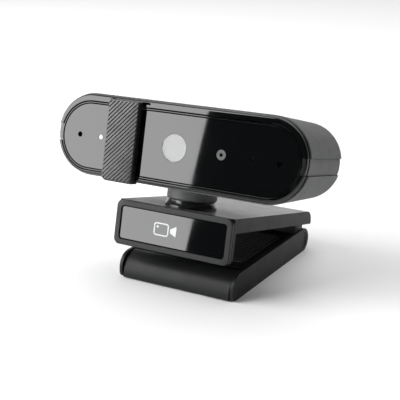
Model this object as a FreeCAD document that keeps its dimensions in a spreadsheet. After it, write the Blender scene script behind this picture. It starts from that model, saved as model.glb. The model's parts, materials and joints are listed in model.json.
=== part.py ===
import FreeCAD, Part
import math
import os
import re
import Sketcher

# A webcam on a folding screen-clip stand. The head turns on a neck, the neck stands on a plate
# with a front lip, the plate hinges at the back on a lower leg, and a foot folds out of the leg.
# Millimetres, +Z up, front towards -Y. The origin is under the middle of the lower leg.

SIZES = {
    # camera head: a flat bar with round ends that narrows a little towards the back
    "head_width": 104.0, "head_height": 30.7, "head_depth": 35.5, "head_draft": 2.5,
    "cover_wall": 1.8, "cover_start": 2.2, "cover_round": 3.0,
    "trim_inset": 0.5, "trim_round": 1.2, "tab_inset": 0.3, "trim_gap": 0.3, "front_drop": 0.63,
    "panel_side": 3.05, "panel_rim": 3.3, "panel_bevel": 0.25, "panel_set": 0.35, "panel_thick": 1.5,
    "ring_wall": 0.5, "ring_gap": 0.15, "ring_set": 0.2, "tape_thick": 0.25, "tape_wide": 2.0,
    "shelf_wall": 4.5, "shelf_lap": 1.0, "shelf_thick": 1.9, "tape_inset": 0.5, "boss_reach_in": 0.5,
    "lens_set": 0.2,
    "belt_height": 5.8, "belt_drop": 0.63, "belt_inset": 0.5, "belt_gap": 0.12,
    # what looks through the front panel
    "window_radius": 5.0, "window_set": 0.45, "mic_radius": 1.0, "mic_reach": 41.4,
    "lamp_radius": 0.9, "lamp_reach": 32.0, "sensor_radius": 1.9, "sensor_reach": 19.0,
    "sensor_bore": 0.65, "beacon_radius": 0.65, "beacon_reach": 30.8, "snug_gap": 0.04,
    # what is inside the head
    "board_width": 90.0, "board_height": 16.0, "board_depth": 10.0, "board_thick": 1.2,
    "holder_side": 14.0, "holder_length": 5.4, "holder_wall": 1.0, "barrel_front": 2.4,
    "barrel_length": 5.4, "barrel_wall": 1.2, "lens_thick": 1.6, "chip_side": 7.0, "chip_thick": 0.8,
    "boot_radius": 2.2, "boot_bore": 0.6, "capsule_side": 3.4, "capsule_thick": 1.0,
    "post_radius": 2.2, "post_reach": 38.0, "post_rise": 5.6,
    "screw_radius": 0.8, "screw_head": 1.6, "screw_head_thick": 0.9, "screw_length": 6.0,
    "slot_half": 1.2, "slot_wide": 0.4, "screw_play": 0.1,
    "boss_reach": 30.0, "boss_side": 4.4, "boss_length": 7.5,
    "plug_width": 8.0, "plug_height": 5.0, "plug_depth": 4.0,
    "cord_bore": 1.6, "grommet_radius": 2.5, "grommet_flange": 3.6, "grommet_lip": 1.2,
    "grommet_catch": 0.45, "flange_gap": 0.07, "notch_gap": 0.2,
    # privacy slider on the front of the head
    "slider_width": 13.4, "slider_offset": 21.3, "slider_thick": 2.3, "slider_gap": 0.3,
    "slider_below": 1.25, "slider_under": 0.55, "slider_round": 0.6, "slider_corner": 2.0,
    "tongue_thick": 0.65, "tongue_depth": 1.1, "tongue_gap": 0.15, "hook_thick": 0.8, "track_play": 0.3,
    "track_end": 0.9,
    # neck and swivel
    "neck_reach": 53.0, "neck_depth": 17.5, "head_lift": 22.65, "collar_radius": 9.4,
    "swivel_height": 2.8, "swivel_gap": 0.25, "swivel_top": 8.9, "swivel_curve": 5.0,
    "swivel_foot": 9.7, "foot_ring": 1.1, "swivel_screw": 2.0, "nut_radius": 3.2, "nut_length": 4.4,
    "nut_proud": 0.3,
    "swivel_head": 3.8, "swivel_head_thick": 1.8, "washer_thick": 0.5, "recess_radius": 4.5,
    "recess_depth": 2.6, "swivel_slot_half": 2.6, "swivel_slot_wide": 1.0, "swivel_slot_deep": 0.9,
    # upper bracket: plate, lip, front frame and name plate, measured from the rear hinge
    "tilt": 13.6, "plate_reach": 65.5, "plate_top": 11.8, "plate_thick": 5.3, "plate_tail": 5.9,
    "plate_width": 48.8, "plate_round": 4.5, "plate_low_round": 0.6, "lip_thick": 3.6, "lip_height": 16.8,
    "frame_width": 49.0, "frame_depth": 1.5, "frame_wall": 2.1, "frame_corner": 2.4,
    "frame_inner_corner": 1.2, "frame_bevel": 0.35, "badge_bevel": 0.2, "groove_wide": 0.5,
    "groove_deep": 0.6,
    "badge_gap": 0.15, "badge_thick": 1.0,
    "knuckle_radius": 4.3, "neck_half": 3.6, "pad_thick": 0.8, "pad_inset": 4.4, "pad_clear": 2.0,
    "rear_pad_length": 13.0, "lip_pad_rise": 1.5, "insert_radius": 4.0,
    "insert_bore": 2.55, "insert_length": 4.6, "insert_reach": 31.0,
    # lower leg and its two hinges
    "leg_width": 49.2, "leg_length": 66.0, "leg_height": 9.6, "arm_thick": 1.3, "arm_round": 6.0,
    "arm_toe": 2.5,
    "hinge_inset": 5.0, "web_drop": 0.6, "web_thick": 2.4, "leg_pad_inset": 3.0, "leg_pad_end": 4.0,
    "web_front": 12.4, "web_rear": 12.5,
    "bar_deep": 3.2, "pin_radius": 1.5, "cap_radius": 3.2, "cap_thick": 0.6, "cap_recess": 0.8,
    "hinge_washer": 0.5, "washer_inset": 0.3, "cap_play": 0.1, "side_gap": 0.05, "run_gap": 0.05,
    # folding foot
    "foot_inset": 4.8, "foot_pin": 1.25, "foot_play": 0.4, "nose_radius": 8.6, "foot_length": 44.2,
    "foot_top": 0.8, "foot_pad": 1.0, "nose_back": 3.9, "nose_drop": 0.2,
    "nose_clear": 0.4,
    "nose_sink": 0.5, "flap_round": 1.5, "foot_pad_inset": 4.0, "foot_pad_start": 7.0,
    # shared: how far a cutting tool passes its part, and how far joined solids reach into each other
    "cut_over": 1.0, "join_over": 0.2, "edge_over": 0.1,
}

# Sizes that follow from the ones above.
FOLLOWING = {
    "panel_width": "head_width - 2 * panel_side",
    "panel_height": "head_height - 2 * panel_rim",
    "slider_top": "head_height / 2 - slider_below",
    "slider_bottom": "head_height / 2 + slider_under",
    "grommet_drop": "belt_drop + belt_height / 2 + grommet_flange + flange_gap",
    "foot_half": "leg_width / 2 - arm_thick - foot_play",
}

doc = FreeCAD.newDocument("Webcam")
sheet = doc.addObject("Spreadsheet::Sheet", "Dim")
formulas = {name: "=" + text for name, text in FOLLOWING.items()}
for row, (name, size) in enumerate({**SIZES, **formulas}.items(), 1):
    sheet.set(f"A{row}", name)
    sheet.set(f"B{row}", str(size))
    sheet.setAlias(f"B{row}", name)
doc.recompute()

NEAR = 0.001
ALONG_X = "rotation(vector(0; 1; 0); 90)"
ALONG_Y = "rotation(vector(1; 0; 0); -90)"
ALONG_Z = "rotation(vector(0; 0; 1); 0)"

local_place = {}
node_list = []


def linked(text):
    """An expression on sheet names becomes one that other objects can use."""
    return re.sub(r"[a-z]+_[a-z_]+|\btilt\b", lambda word: "Dim." + word[0], str(text))


def amount(text):
    return float(sheet.evalExpression(linked(text)))


def bind(feature, **sizes):
    for prop, text in sizes.items():
        feature.setExpression(prop, linked(text))
    return feature


def place(feature, x, y, z, turn=ALONG_Z):
    text = f"placement(vector({x}; {y}; {z}); {turn})"
    local_place[feature.Name] = text
    feature.setExpression("Placement", linked(text))
    return feature


# ---- primitives and booleans ----

def block(name, x, y, z):
    """A box between low and high values, given as pairs."""
    feature = doc.addObject("Part::Box", name)
    bind(feature, Length=f"({x[1]}) - ({x[0]})", Width=f"({y[1]}) - ({y[0]})",
         Height=f"({z[1]}) - ({z[0]})")
    return place(feature, x[0], y[0], z[0])


def rod(name, radius, length, x, y, z, turn=ALONG_Y):
    feature = doc.addObject("Part::Cylinder", name)
    bind(feature, Radius=radius, Height=length)
    return place(feature, x, y, z, turn)


def fuse(name, *pieces):
    feature = doc.addObject("Part::MultiFuse", name)
    feature.Shapes = list(pieces)
    feature.Refine = True
    return feature


def cut(name, base, *tools):
    feature = doc.addObject("Part::Cut", name)
    feature.Base = base
    feature.Tool = tools[0] if len(tools) == 1 else fuse(name + "_tools", *tools)
    feature.Refine = True
    return feature


def common(name, first, second):
    feature = doc.addObject("Part::Common", name)
    feature.Base = first
    feature.Tool = second
    feature.Refine = True
    return feature


def group(name, *pieces):
    feature = doc.addObject("Part::Compound", name)
    feature.Links = list(pieces)
    return feature


def rounded(name, base, *rounds):
    """Fillet the edges that a test picks. Each round is a test on (start, end) and a radius."""
    doc.recompute()
    edges = []
    for number, edge in enumerate(base.Shape.Edges, 1):
        first, last = edge.Vertexes[0].Point, edge.Vertexes[-1].Point
        for picks, radius in rounds:
            if picks(first, last):
                edges.append((number, amount(radius), amount(radius)))
                break
    feature = doc.addObject("Part::Fillet", name)
    feature.Base = base
    feature.Edges = edges
    return feature


def near(value, text):
    return abs(value - amount(text)) < NEAR


def side_edge(y, z):
    """A test for edges that run along X at one depth and height."""
    return lambda a, b: near(a.y, y) and near(b.y, y) and near(a.z, z) and near(b.z, z)


# ---- sketched bodies, padded towards the back from a start depth ----

def front_sketch(body, start, name):
    plane = next(o for o in body.Origin.OriginFeatures if o.Role == "XZ_Plane")
    sketch = body.newObject("Sketcher::SketchObject", name)
    sketch.AttachmentSupport = [(plane, "")]
    sketch.MapMode = "FlatFace"
    sketch.setExpression(".AttachmentOffset.Base.z", linked(f"-({start})"))
    return sketch


def draw_outline(sketch, wide, tall, corner, rise):
    """A rectangle with round corners; the corner radius may be half the height (a stadium)."""
    half_x = amount(f"({wide}) / 2 - ({corner})")
    half_z = amount(f"({tall}) / 2 - ({corner})")
    radius, lift = amount(corner), amount(rise)
    is_stadium = half_z < NEAR
    vector, turn = FreeCAD.Vector, math.pi / 2
    centres = [(half_x, lift + half_z), (-half_x, lift + half_z), (-half_x, lift - half_z),
               (half_x, lift - half_z)]
    if is_stadium:
        arcs = [(centres[3], -turn, turn), (centres[1], turn, 3 * turn)]
    else:
        arcs = [(centre, k * turn, (k + 1) * turn) for k, centre in enumerate(centres)]
    for (x, z), low, high in arcs:
        circle = Part.Circle(vector(x, z, 0), vector(0, 0, 1), radius)
        sketch.addGeometry(Part.ArcOfCircle(circle, low, high))
    count = len(arcs)
    for k in range(count):
        start = sketch.getPoint(k, 2)
        finish = sketch.getPoint((k + 1) % count, 1)
        sketch.addGeometry(Part.LineSegment(start, finish))
    link = Sketcher.Constraint
    for k in range(count):
        line = count + k
        sketch.addConstraint(link("Tangent", k, 2, line, 1))
        sketch.addConstraint(link("Tangent", line, 2, (k + 1) % count, 1))
        sketch.addConstraint(link("Horizontal" if is_stadium or k % 2 == 0 else "Vertical", line))
    if not is_stadium:
        for k in range(1, count):
            sketch.addConstraint(link("Equal", 0, k))
    opposite = 1 if is_stadium else 2
    measures = [
        ("radius", link("Radius", 0, radius), corner),
        ("right", link("DistanceX", -1, 1, 0, 3, half_x), f"({wide}) / 2 - ({corner})"),
        ("left", link("DistanceX", opposite, 3, -1, 1, half_x), f"({wide}) / 2 - ({corner})"),
    ]
    if is_stadium:
        measures.append(("rise", link("DistanceY", -1, 1, 0, 3, lift), rise))
    else:
        measures.append(("upper", link("DistanceY", -1, 1, 0, 3, half_z + lift),
                         f"({tall}) / 2 - ({corner}) + ({rise})"))
        measures.append(("lower", link("DistanceY", 2, 3, -1, 1, half_z - lift),
                         f"({tall}) / 2 - ({corner}) - ({rise})"))
    for name, constraint, text in measures:
        number = sketch.addConstraint(constraint)
        sketch.renameConstraint(number, name)
        sketch.setExpression("Constraints." + name, linked(text))


def slab(name, wide, tall, start, depth, corner=None, rise="0", draft=None):
    """A padded outline: a stadium unless a corner radius is given."""
    body = doc.addObject("PartDesign::Body", name)
    sketch = front_sketch(body, start, name + "_outline")
    draw_outline(sketch, wide, tall, corner or f"({tall}) / 2", rise)
    pad = body.newObject("PartDesign::Pad", name + "_pad")
    pad.Profile = sketch
    pad.Reversed = True
    bind(pad, Length=depth)
    if draft:
        bind(pad, TaperAngle=f"-({draft})")
    sketch.Visibility = False
    return body


def soften(body, name, y, radius):
    """Fillet every edge of a body that lies at one depth."""
    doc.recompute()
    level = amount(y)
    names = [f"Edge{n}" for n, edge in enumerate(body.Shape.Edges, 1)
             if all(abs(point.y - level) < NEAR for point in edge.discretize(3))]
    last = body.Tip
    fillet = body.newObject("PartDesign::Fillet", name)
    fillet.Base = (last, names)
    bind(fillet, Radius=radius)
    return body


# ---- groups that move together ----

LEG = ""
BRACKET = ("placement(vector(0; leg_length / 2 - hinge_inset; leg_height / 2); "
           "rotation(vector(1; 0; 0); -tilt))")
HEAD = BRACKET + (" * placement(vector(0; -neck_reach - neck_depth; plate_top + head_lift); "
                  "rotation(vector(1; 0; 0); 0))")
NECK = BRACKET + " * placement(vector(0; -neck_reach; plate_top); rotation(vector(1; 0; 0); 0))"
FOOT = "placement(vector(0; foot_inset - leg_length / 2; leg_height / 2); rotation(vector(1; 0; 0); 0))"


def node(feature, label, frame):
    """Name a finished sub-part and move it into its group's place."""
    own = local_place.get(feature.Name)
    text = " * ".join(part for part in (frame, own) if part)
    if text:
        feature.setExpression("Placement", linked(text))
    feature.Label = label
    node_list.append(feature)


# ---- head: covers, trims, middle frame ----

BELT_TOP = "belt_height / 2 - belt_drop"
BELT_LOW = "-belt_height / 2 - belt_drop"
BACK_WALL = "head_depth - cover_wall"
FAR = "head_width"


def cover_shell():
    outer = slab("cover_outer", "head_width", "head_height", "cover_start", "head_depth - cover_start",
                 draft="head_draft")
    soften(outer, "cover_outer_round", "head_depth", "cover_round")
    inner = slab("cover_inner", "head_width - 2 * cover_wall", "head_height - 2 * cover_wall",
                 "cover_start - cut_over", f"{BACK_WALL} - cover_start + cut_over", draft="head_draft")
    soften(inner, "cover_inner_round", BACK_WALL, "cover_round - cover_wall / 2")
    return outer, inner


def posts(name, rise, low, high):
    """Two round posts from the back wall that carry the board, each with a screw hole."""
    solid = []
    holes = []
    for side, sign in (("left", "-"), ("right", "")):
        solid.append(rod(f"{name}_post_{side}", "post_radius",
                         f"{BACK_WALL} + boss_reach_in - board_depth - board_thick",
                         f"{sign}post_reach", "board_depth + board_thick", rise))
        holes.append(rod(f"{name}_hole_{side}", "screw_radius", "screw_length + boss_reach_in",
                         f"{sign}post_reach", "board_depth + board_thick", rise))
        solid.append(block(f"{name}_boss_{side}",
                           (f"{sign}boss_reach - boss_side / 2", f"{sign}boss_reach + boss_side / 2"),
                           ("cover_start + shelf_thick", "cover_start + shelf_thick + boss_length"),
                           (low, high)))
        holes.append(rod(f"{name}_pilot_{side}", "screw_radius", "boss_length",
                         f"{sign}boss_reach", "cover_start + shelf_thick - edge_over",
                         frame_screw_rise(name)))
    return solid, holes


def boss_space(name):
    """From just inside the frame bosses to beyond the edge of the head."""
    reach = "boss_side / 2 + notch_gap"
    if name == "top":
        return f"{frame_screw_rise(name)} - ({reach})", "head_height"
    return "-head_height", f"{frame_screw_rise(name)} + {reach}"


def frame_screw_rise(name):
    band = "panel_height / 2 + ring_gap + ring_wall - shelf_wall / 2"
    return f"{band} - front_drop" if name == "top" else f"-({band}) - front_drop"


def make_covers():
    outer, inner = cover_shell()
    shell = cut("cover_shell", outer, inner)
    half_wide = f"{FAR} / 2"
    upper = common("top_part", shell, block("top_space", (f"-{half_wide}", half_wide), ("0", "head_depth"),
                                            (f"{BELT_TOP} + belt_gap", "head_height")))
    solid, holes = posts("top", "post_rise - front_drop", f"{frame_screw_rise('top')} - boss_side / 2",
                         "head_height / 2 - cover_wall / 2 - boss_reach_in")
    node(cut("top_cover_cut", fuse("top_cover_all", upper, *solid), *holes), "top_cover", HEAD)

    lower = common("bottom_part", shell, block("bottom_space", (f"-{half_wide}", half_wide),
                                               ("0", "head_depth"),
                                               ("-head_height", f"{BELT_LOW} - belt_gap")))
    solid, holes = posts("bottom", "-post_rise - front_drop",
                         "-(head_height / 2 - cover_wall / 2 - boss_reach_in)",
                         f"{frame_screw_rise('bottom')} + boss_side / 2")
    collar_low = "-(head_lift - swivel_height - swivel_gap)"
    collar = rod("collar", "collar_radius", f"-(head_height / 2 - 2 * cover_wall) - ({collar_low})",
                 "0", "neck_depth", collar_low, ALONG_Z)
    nut_hole = rod("nut_hole", "nut_radius + snug_gap / 2", "head_lift", "0", "neck_depth", "-head_lift",
                   ALONG_Z)
    cord_hole = rod("cord_hole", "grommet_radius + snug_gap", "3 * cover_wall",
                    "0", "head_depth - 2 * cover_wall", "-grommet_drop")
    node(cut("bottom_cover_cut", fuse("bottom_cover_all", lower, collar, *solid), nut_hole, cord_hole,
             *holes),
         "bottom_cover", HEAD)
    make_middle_frame(inner)


def make_middle_frame(inner):
    belt_outer = slab("belt_outer", "head_width - 2 * belt_inset", "head_height - 2 * belt_inset",
                      "cover_start",
                      "head_depth - cover_start - belt_inset", draft="head_draft")
    soften(belt_outer, "belt_round", "head_depth - belt_inset", "cover_round - belt_inset")
    level = (BELT_LOW, BELT_TOP)
    space = block("belt_space", (f"-{FAR} / 2", f"{FAR} / 2"), ("0", "head_depth"), level)
    belt = common("belt", cut("belt_shell", belt_outer, inner), space)
    ring = slab("ring_outer", "panel_width + 2 * ring_gap + 2 * ring_wall",
                "panel_height + 2 * ring_gap + 2 * ring_wall",
                "ring_set", "cover_start + shelf_thick - ring_set", rise="-front_drop")
    seat = slab("ring_seat", "panel_width + 2 * ring_gap", "panel_height + 2 * ring_gap",
                "0", "panel_set + panel_thick + tape_thick", rise="-front_drop")
    opening = slab("ring_opening", "panel_width - 2 * (shelf_wall - shelf_lap)",
                   "panel_height - 2 * (shelf_wall - shelf_lap)",
                   "0", "2 * cover_start + shelf_thick", rise="-front_drop")
    tabs = []
    tab_in = "panel_width / 2 + ring_gap + ring_wall / 2"
    for side, span in (("left", ("-head_width", f"-({tab_in})")), ("right", (tab_in, "head_width"))):
        end = block(f"tab_space_{side}", span, ("0", "head_depth"), level)
        plate = slab(f"tab_plate_{side}", "head_width - 2 * trim_inset - 2 * tab_inset",
                     "head_height - 2 * trim_inset - 2 * tab_inset", "panel_set",
                     "cover_start + shelf_thick - panel_set")
        soften(plate, f"tab_round_{side}", "panel_set", "trim_round / 2")
        tabs.append(common(f"tab_{side}", plate, end))
    tools = [seat, opening]
    for side, sign in (("left", "-"), ("right", "")):
        for row in ("top", "bottom"):
            spot = (f"{sign}boss_reach", "0", frame_screw_rise(row))
            tools.append(rod(f"shelf_hole_{row}_{side}", "screw_radius + screw_play", "3 * cover_start",
                             *spot))
            tools.append(rod(f"shelf_seat_{row}_{side}", "screw_head + screw_play",
                             "cover_start + screw_head_thick", *spot))
    node(cut("middle_frame_cut", fuse("middle_frame_all", belt, ring, *tabs), *tools), "middle_frame", HEAD)


def make_trims():
    outer = slab("trim_outer", "head_width - 2 * trim_inset", "head_height - 2 * trim_inset", "0",
                 "cover_start")
    soften(outer, "trim_outer_round", "0", "trim_round")
    hole = slab("trim_hole", "panel_width + 2 * (ring_gap + ring_wall + trim_gap)",
                "panel_height + 2 * (ring_gap + ring_wall + trim_gap)", "-cut_over",
                "cover_start + 2 * cut_over", rise="-front_drop")
    ring = cut("trim_ring", outer, hole)
    half_wide = f"{FAR} / 2"
    track = block("slider_track", ("-slider_offset - slider_width / 2 - track_play",
                                   "slider_width / 2 + track_end"),
                  ("-cut_over", "tongue_depth + join_over"),
                  ("slider_top - tongue_thick - tongue_gap", "slider_top + tongue_gap"))
    upper = common("trim_top", ring, block("trim_top_space", (f"-{half_wide}", half_wide),
                                           ("-cut_over", "head_depth"),
                                           (f"{BELT_TOP} + belt_gap", "head_height")))
    node(cut("upper_trim_cut", upper, track), "upper_trim", HEAD)
    lower = common("trim_low", ring, block("trim_low_space", (f"-{half_wide}", half_wide),
                                           ("-cut_over", "head_depth"),
                                           ("-head_height", f"{BELT_LOW} - belt_gap")))
    node(lower, "lower_trim", HEAD)


# ---- head: front panel and what sits in it ----

def make_panel():
    sheet_body = slab("panel_sheet", "panel_width", "panel_height", "panel_set", "panel_thick",
                      rise="-front_drop")
    soften(sheet_body, "panel_edge", "panel_set", "panel_bevel")
    holes = [
        rod("window_hole", "window_radius", "cover_start + cut_over", "0", "0", "-front_drop"),
        rod("left_mic_hole", "mic_radius", "cover_start + cut_over", "-mic_reach", "0", "-front_drop"),
        rod("right_mic_hole", "mic_radius", "cover_start + cut_over", "mic_reach", "0", "-front_drop"),
        rod("lamp_hole", "lamp_radius", "cover_start + cut_over", "-lamp_reach", "0", "-front_drop"),
        rod("sensor_hole", "sensor_radius", "cover_start + cut_over", "sensor_reach", "0", "-front_drop"),
        rod("beacon_hole", "beacon_radius", "cover_start + cut_over", "beacon_reach", "0", "-front_drop"),
    ]
    node(cut("panel_cut", sheet_body, *holes), "front_panel", HEAD)
    tape_wide = slab("tape_outer", "panel_width - 2 * tape_inset", "panel_height - 2 * tape_inset",
                     "panel_set + panel_thick", "tape_thick",
                     rise="-front_drop")
    tape_hole = slab("tape_inner", "panel_width - 2 * tape_inset - 2 * tape_wide",
                     "panel_height - 2 * tape_inset - 2 * tape_wide", "0",
                     "2 * cover_start", rise="-front_drop")
    node(cut("tape_cut", tape_wide, tape_hole), "panel_tape", HEAD)
    inset = "panel_set + panel_thick - window_set"
    node(rod("window_disc", "window_radius - snug_gap", inset, "0", "window_set", "-front_drop"),
         "lens_window", HEAD)
    node(cut("sensor_ring_cut", rod("sensor_disc", "sensor_radius - snug_gap", inset, "sensor_reach",
                                    "window_set", "-front_drop"),
             rod("sensor_eye", "sensor_bore", "cover_start + cut_over", "sensor_reach", "0",
                 "-front_drop")),
         "light_sensor_ring", HEAD)
    node(rod("beacon_disc", "beacon_radius - snug_gap", inset, "beacon_reach", "window_set", "-front_drop"),
         "proximity_window", HEAD)
    lamp_end = "board_depth - capsule_thick"
    node(rod("lamp_pipe", "lamp_radius - snug_gap", f"{lamp_end} - window_set", "-lamp_reach", "window_set",
             "-front_drop"),
         "status_light_pipe", HEAD)


def chip(name, side, thick, x, label):
    """A square component soldered to the front of the board."""
    node(block(name, (f"{x} - {side} / 2", f"{x} + {side} / 2"), (f"board_depth - {thick}", "board_depth"),
               (f"-front_drop - {side} / 2", f"-front_drop + {side} / 2")), label, HEAD)


def make_electronics():
    sheet_body = slab("board_sheet", "board_width", "board_height", "board_depth", "board_thick",
                      rise="-front_drop")
    holes = [rod(f"board_hole_{n}", "screw_radius + screw_play", "3 * board_depth", f"{sx}post_reach", "0",
                 f"{sz}post_rise - front_drop") for n, (sx, sz) in enumerate(CORNERS)]
    notches = [block(f"board_notch_{name}_{n}", (f"{sx}boss_reach - boss_side / 2 - notch_gap",
                                                 f"{sx}boss_reach + boss_side / 2 + notch_gap"),
                     ("0", "head_depth"), boss_space(name))
               for n, sx in enumerate(("-", "")) for name in ("top", "bottom")]
    node(cut("board_cut", sheet_body, *holes, *notches), "main_board", HEAD)
    chip("lamp_chip", "lamp_radius", "capsule_thick", "-lamp_reach", "status_led")
    chip("sensor_chip", "sensor_radius", "capsule_thick", "sensor_reach", "light_sensor")
    chip("image_chip", "chip_side", "chip_thick", "0", "image_sensor")
    boot_start = "panel_set + panel_thick + snug_gap"
    for side, x in (("left", "-mic_reach"), ("right", "mic_reach")):
        chip(f"{side}_capsule", "capsule_side", "capsule_thick", x, f"{side}_microphone")
        boot = rod(f"{side}_boot", "boot_radius", f"board_depth - capsule_thick - ({boot_start})", x,
                   boot_start, "-front_drop")
        bore = rod(f"{side}_boot_bore", "boot_bore", "board_depth", x, "0", "-front_drop")
        node(cut(f"{side}_boot_cut", boot, bore), f"{side}_microphone_boot", HEAD)
    node(block("plug_block", ("-plug_width / 2", "plug_width / 2"),
               ("board_depth + board_thick", "board_depth + board_thick + plug_depth"),
               ("-front_drop - plug_height / 2", "-front_drop + plug_height / 2")), "cord_connector", HEAD)


def make_lens():
    half = "holder_side / 2"
    start = "board_depth - holder_length"
    barrel_radius = "holder_side / 2 - holder_wall"
    box = block("holder_box", (f"-{half}", half), (start, "board_depth"),
                (f"-front_drop - {half}", f"-front_drop + {half}"))
    bore = rod("holder_bore", barrel_radius, "2 * board_depth", "0", "0", "-front_drop")
    node(cut("holder_cut", box, bore), "lens_holder", HEAD)
    barrel = rod("barrel_rod", f"{barrel_radius} - snug_gap", "barrel_length", "0", "barrel_front",
                 "-front_drop")
    glass_radius = f"{barrel_radius} - barrel_wall"
    barrel_bore = rod("barrel_bore", glass_radius, "board_depth", "0", "0", "-front_drop")
    node(cut("barrel_cut", barrel, barrel_bore), "lens_barrel", HEAD)
    node(rod("front_glass", f"{glass_radius} - snug_gap", "lens_thick", "0", "barrel_front + lens_set",
             "-front_drop"),
         "front_lens", HEAD)
    node(rod("rear_glass", f"{glass_radius} - snug_gap", "lens_thick / 2", "0",
             "barrel_front + barrel_length - lens_thick",
             "-front_drop"), "rear_lens", HEAD)


CORNERS = (("-", ""), ("", ""), ("-", "-"), ("", "-"))


def screw(name, x, head_back, z):
    """A small screw driven towards the back, with its head in front of head_back."""
    head = rod(f"{name}_head", "screw_head", "screw_head_thick", x, f"{head_back} - screw_head_thick", z)
    shank = rod(f"{name}_shank", "screw_radius - snug_gap / 2", "screw_length", x,
                f"{head_back} - edge_over", z)
    slot = block(f"{name}_slot", (f"{x} - slot_half", f"{x} + slot_half"),
                 (f"{head_back} - screw_head_thick - edge_over",
                 f"{head_back} - screw_head_thick / 2"), (f"{z} - slot_wide / 2", f"{z} + slot_wide / 2"))
    return cut(f"{name}_screw", fuse(f"{name}_all", head, shank), slot)


def make_screws():
    frame = [screw(f"frame_{row}_{side}", f"{sign}boss_reach", "cover_start + screw_head_thick",
                   frame_screw_rise(row))
             for side, sign in (("left", "-"), ("right", "")) for row in ("top", "bottom")]
    node(group("frame_screw_set", *frame), "frame_screws", HEAD)
    board = [screw(f"board_{n}", f"{sx}post_reach", "board_depth", f"{sz}post_rise - front_drop")
             for n, (sx, sz) in enumerate(CORNERS)]
    node(group("board_screw_set", *board), "board_screws", HEAD)


def make_grommet():
    spot = ("0", "head_depth - cover_wall - grommet_lip", "-grommet_drop")
    body = rod("grommet_body", "grommet_radius", "cover_wall + 2 * grommet_lip", *spot)
    inner = rod("grommet_inner", "grommet_radius + grommet_catch", "grommet_lip - snug_gap", *spot)
    outer = rod("grommet_outer", "grommet_flange", "grommet_lip", "0", "head_depth + snug_gap",
                "-grommet_drop")
    bore = rod("grommet_bore", "cord_bore", "head_depth", "0", "head_depth / 2", "-grommet_drop")
    node(cut("grommet_cut", fuse("grommet_all", body, inner, outer), bore), "cord_grommet", HEAD)


# ---- privacy slider ----

def make_slider():
    left, right = "-slider_offset - slider_width / 2", "-slider_offset + slider_width / 2"
    front, back = "-slider_gap - slider_thick", "-slider_gap"
    plate = block("slider_plate", (left, right), (front, back), ("-slider_bottom", "slider_top"))
    tongue = block("slider_tongue", (left, right), (f"{back} - edge_over", "tongue_depth"),
                   ("slider_top - tongue_thick", "slider_top"))
    hook = block("slider_hook", (left, right), (f"{back} - edge_over", "cover_start - slider_gap"),
                 ("-slider_bottom", "-slider_bottom + hook_thick"))
    whole = fuse("slider_all", plate, tongue, hook)

    def front_edge(a, b):
        return near(a.y, front) and near(b.y, front)

    def low_corner(a, b):
        return near(a.z, "-slider_bottom") and near(b.z,
                                                    "-slider_bottom") and near(a.x, left) and near(b.x,
                                                                                                   left)

    node(rounded("slider_round_edges", whole, (low_corner, "slider_corner"), (front_edge, "slider_round")),
         "privacy_slider", HEAD)


# ---- neck ----

def make_swivel_base():
    body = doc.addObject("PartDesign::Body", "swivel_body")
    sketch = front_sketch(body, "0", "swivel_profile")
    names = ("swivel_screw + run_gap", "swivel_foot", "swivel_top", "foot_ring", "swivel_height",
             "swivel_curve")
    bore, foot, top, ring, height, curve = (amount(text) for text in names)
    point = FreeCAD.Vector
    corners = [point(bore, 0, 0), point(foot, 0, 0), point(foot, ring, 0), point(top, height, 0),
               point(bore, height, 0)]
    sketch.addGeometry(Part.LineSegment(corners[0], corners[1]))
    sketch.addGeometry(Part.LineSegment(corners[1], corners[2]))
    chord = corners[3] - corners[2]
    bow = curve - (curve ** 2 - chord.Length ** 2 / 4) ** 0.5
    middle = (corners[2] + corners[3]) / 2 - point(chord.y, -chord.x, 0).normalize() * bow
    sketch.addGeometry(Part.Arc(corners[2], middle, corners[3]))
    sketch.addGeometry(Part.LineSegment(corners[3], corners[4]))
    sketch.addGeometry(Part.LineSegment(corners[4], corners[0]))
    link = Sketcher.Constraint
    arc_start = 1 if (sketch.getPoint(2, 1) - corners[2]).Length < NEAR else 2
    arc_end = 3 - arc_start
    for a, pa, b, pb in ((0, 2, 1, 1), (1, 2, 2, arc_start), (2, arc_end, 3, 1), (3, 2, 4, 1),
                         (4, 2, 0, 1)):
        sketch.addConstraint(link("Coincident", a, pa, b, pb))
    for kind, line in (("Horizontal", 0), ("Vertical", 1), ("Horizontal", 3), ("Vertical", 4)):
        sketch.addConstraint(link(kind, line))
    sketch.addConstraint(link("PointOnObject", 0, 1, -1))
    measures = [
        ("bore", link("DistanceX", -1, 1, 0, 1, bore), "swivel_screw + run_gap"),
        ("foot", link("DistanceX", -1, 1, 0, 2, foot), "swivel_foot"),
        ("top", link("DistanceX", -1, 1, 3, 1, top), "swivel_top"),
        ("ring", link("DistanceY", 1, 1, 1, 2, ring), "foot_ring"),
        ("height", link("DistanceY", -1, 1, 3, 1, height), "swivel_height"),
        ("curve", link("Radius", 2, curve), "swivel_curve"),
    ]
    for name, constraint, text in measures:
        number = sketch.addConstraint(constraint)
        sketch.renameConstraint(number, name)
        sketch.setExpression("Constraints." + name, linked(text))
    turn = body.newObject("PartDesign::Revolution", "swivel_turn")
    turn.Profile = sketch
    turn.ReferenceAxis = (next(o for o in body.Origin.OriginFeatures if o.Role == "Z_Axis"), [""])
    turn.Angle = 360
    sketch.Visibility = False
    node(body, "swivel_base", NECK)


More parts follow.
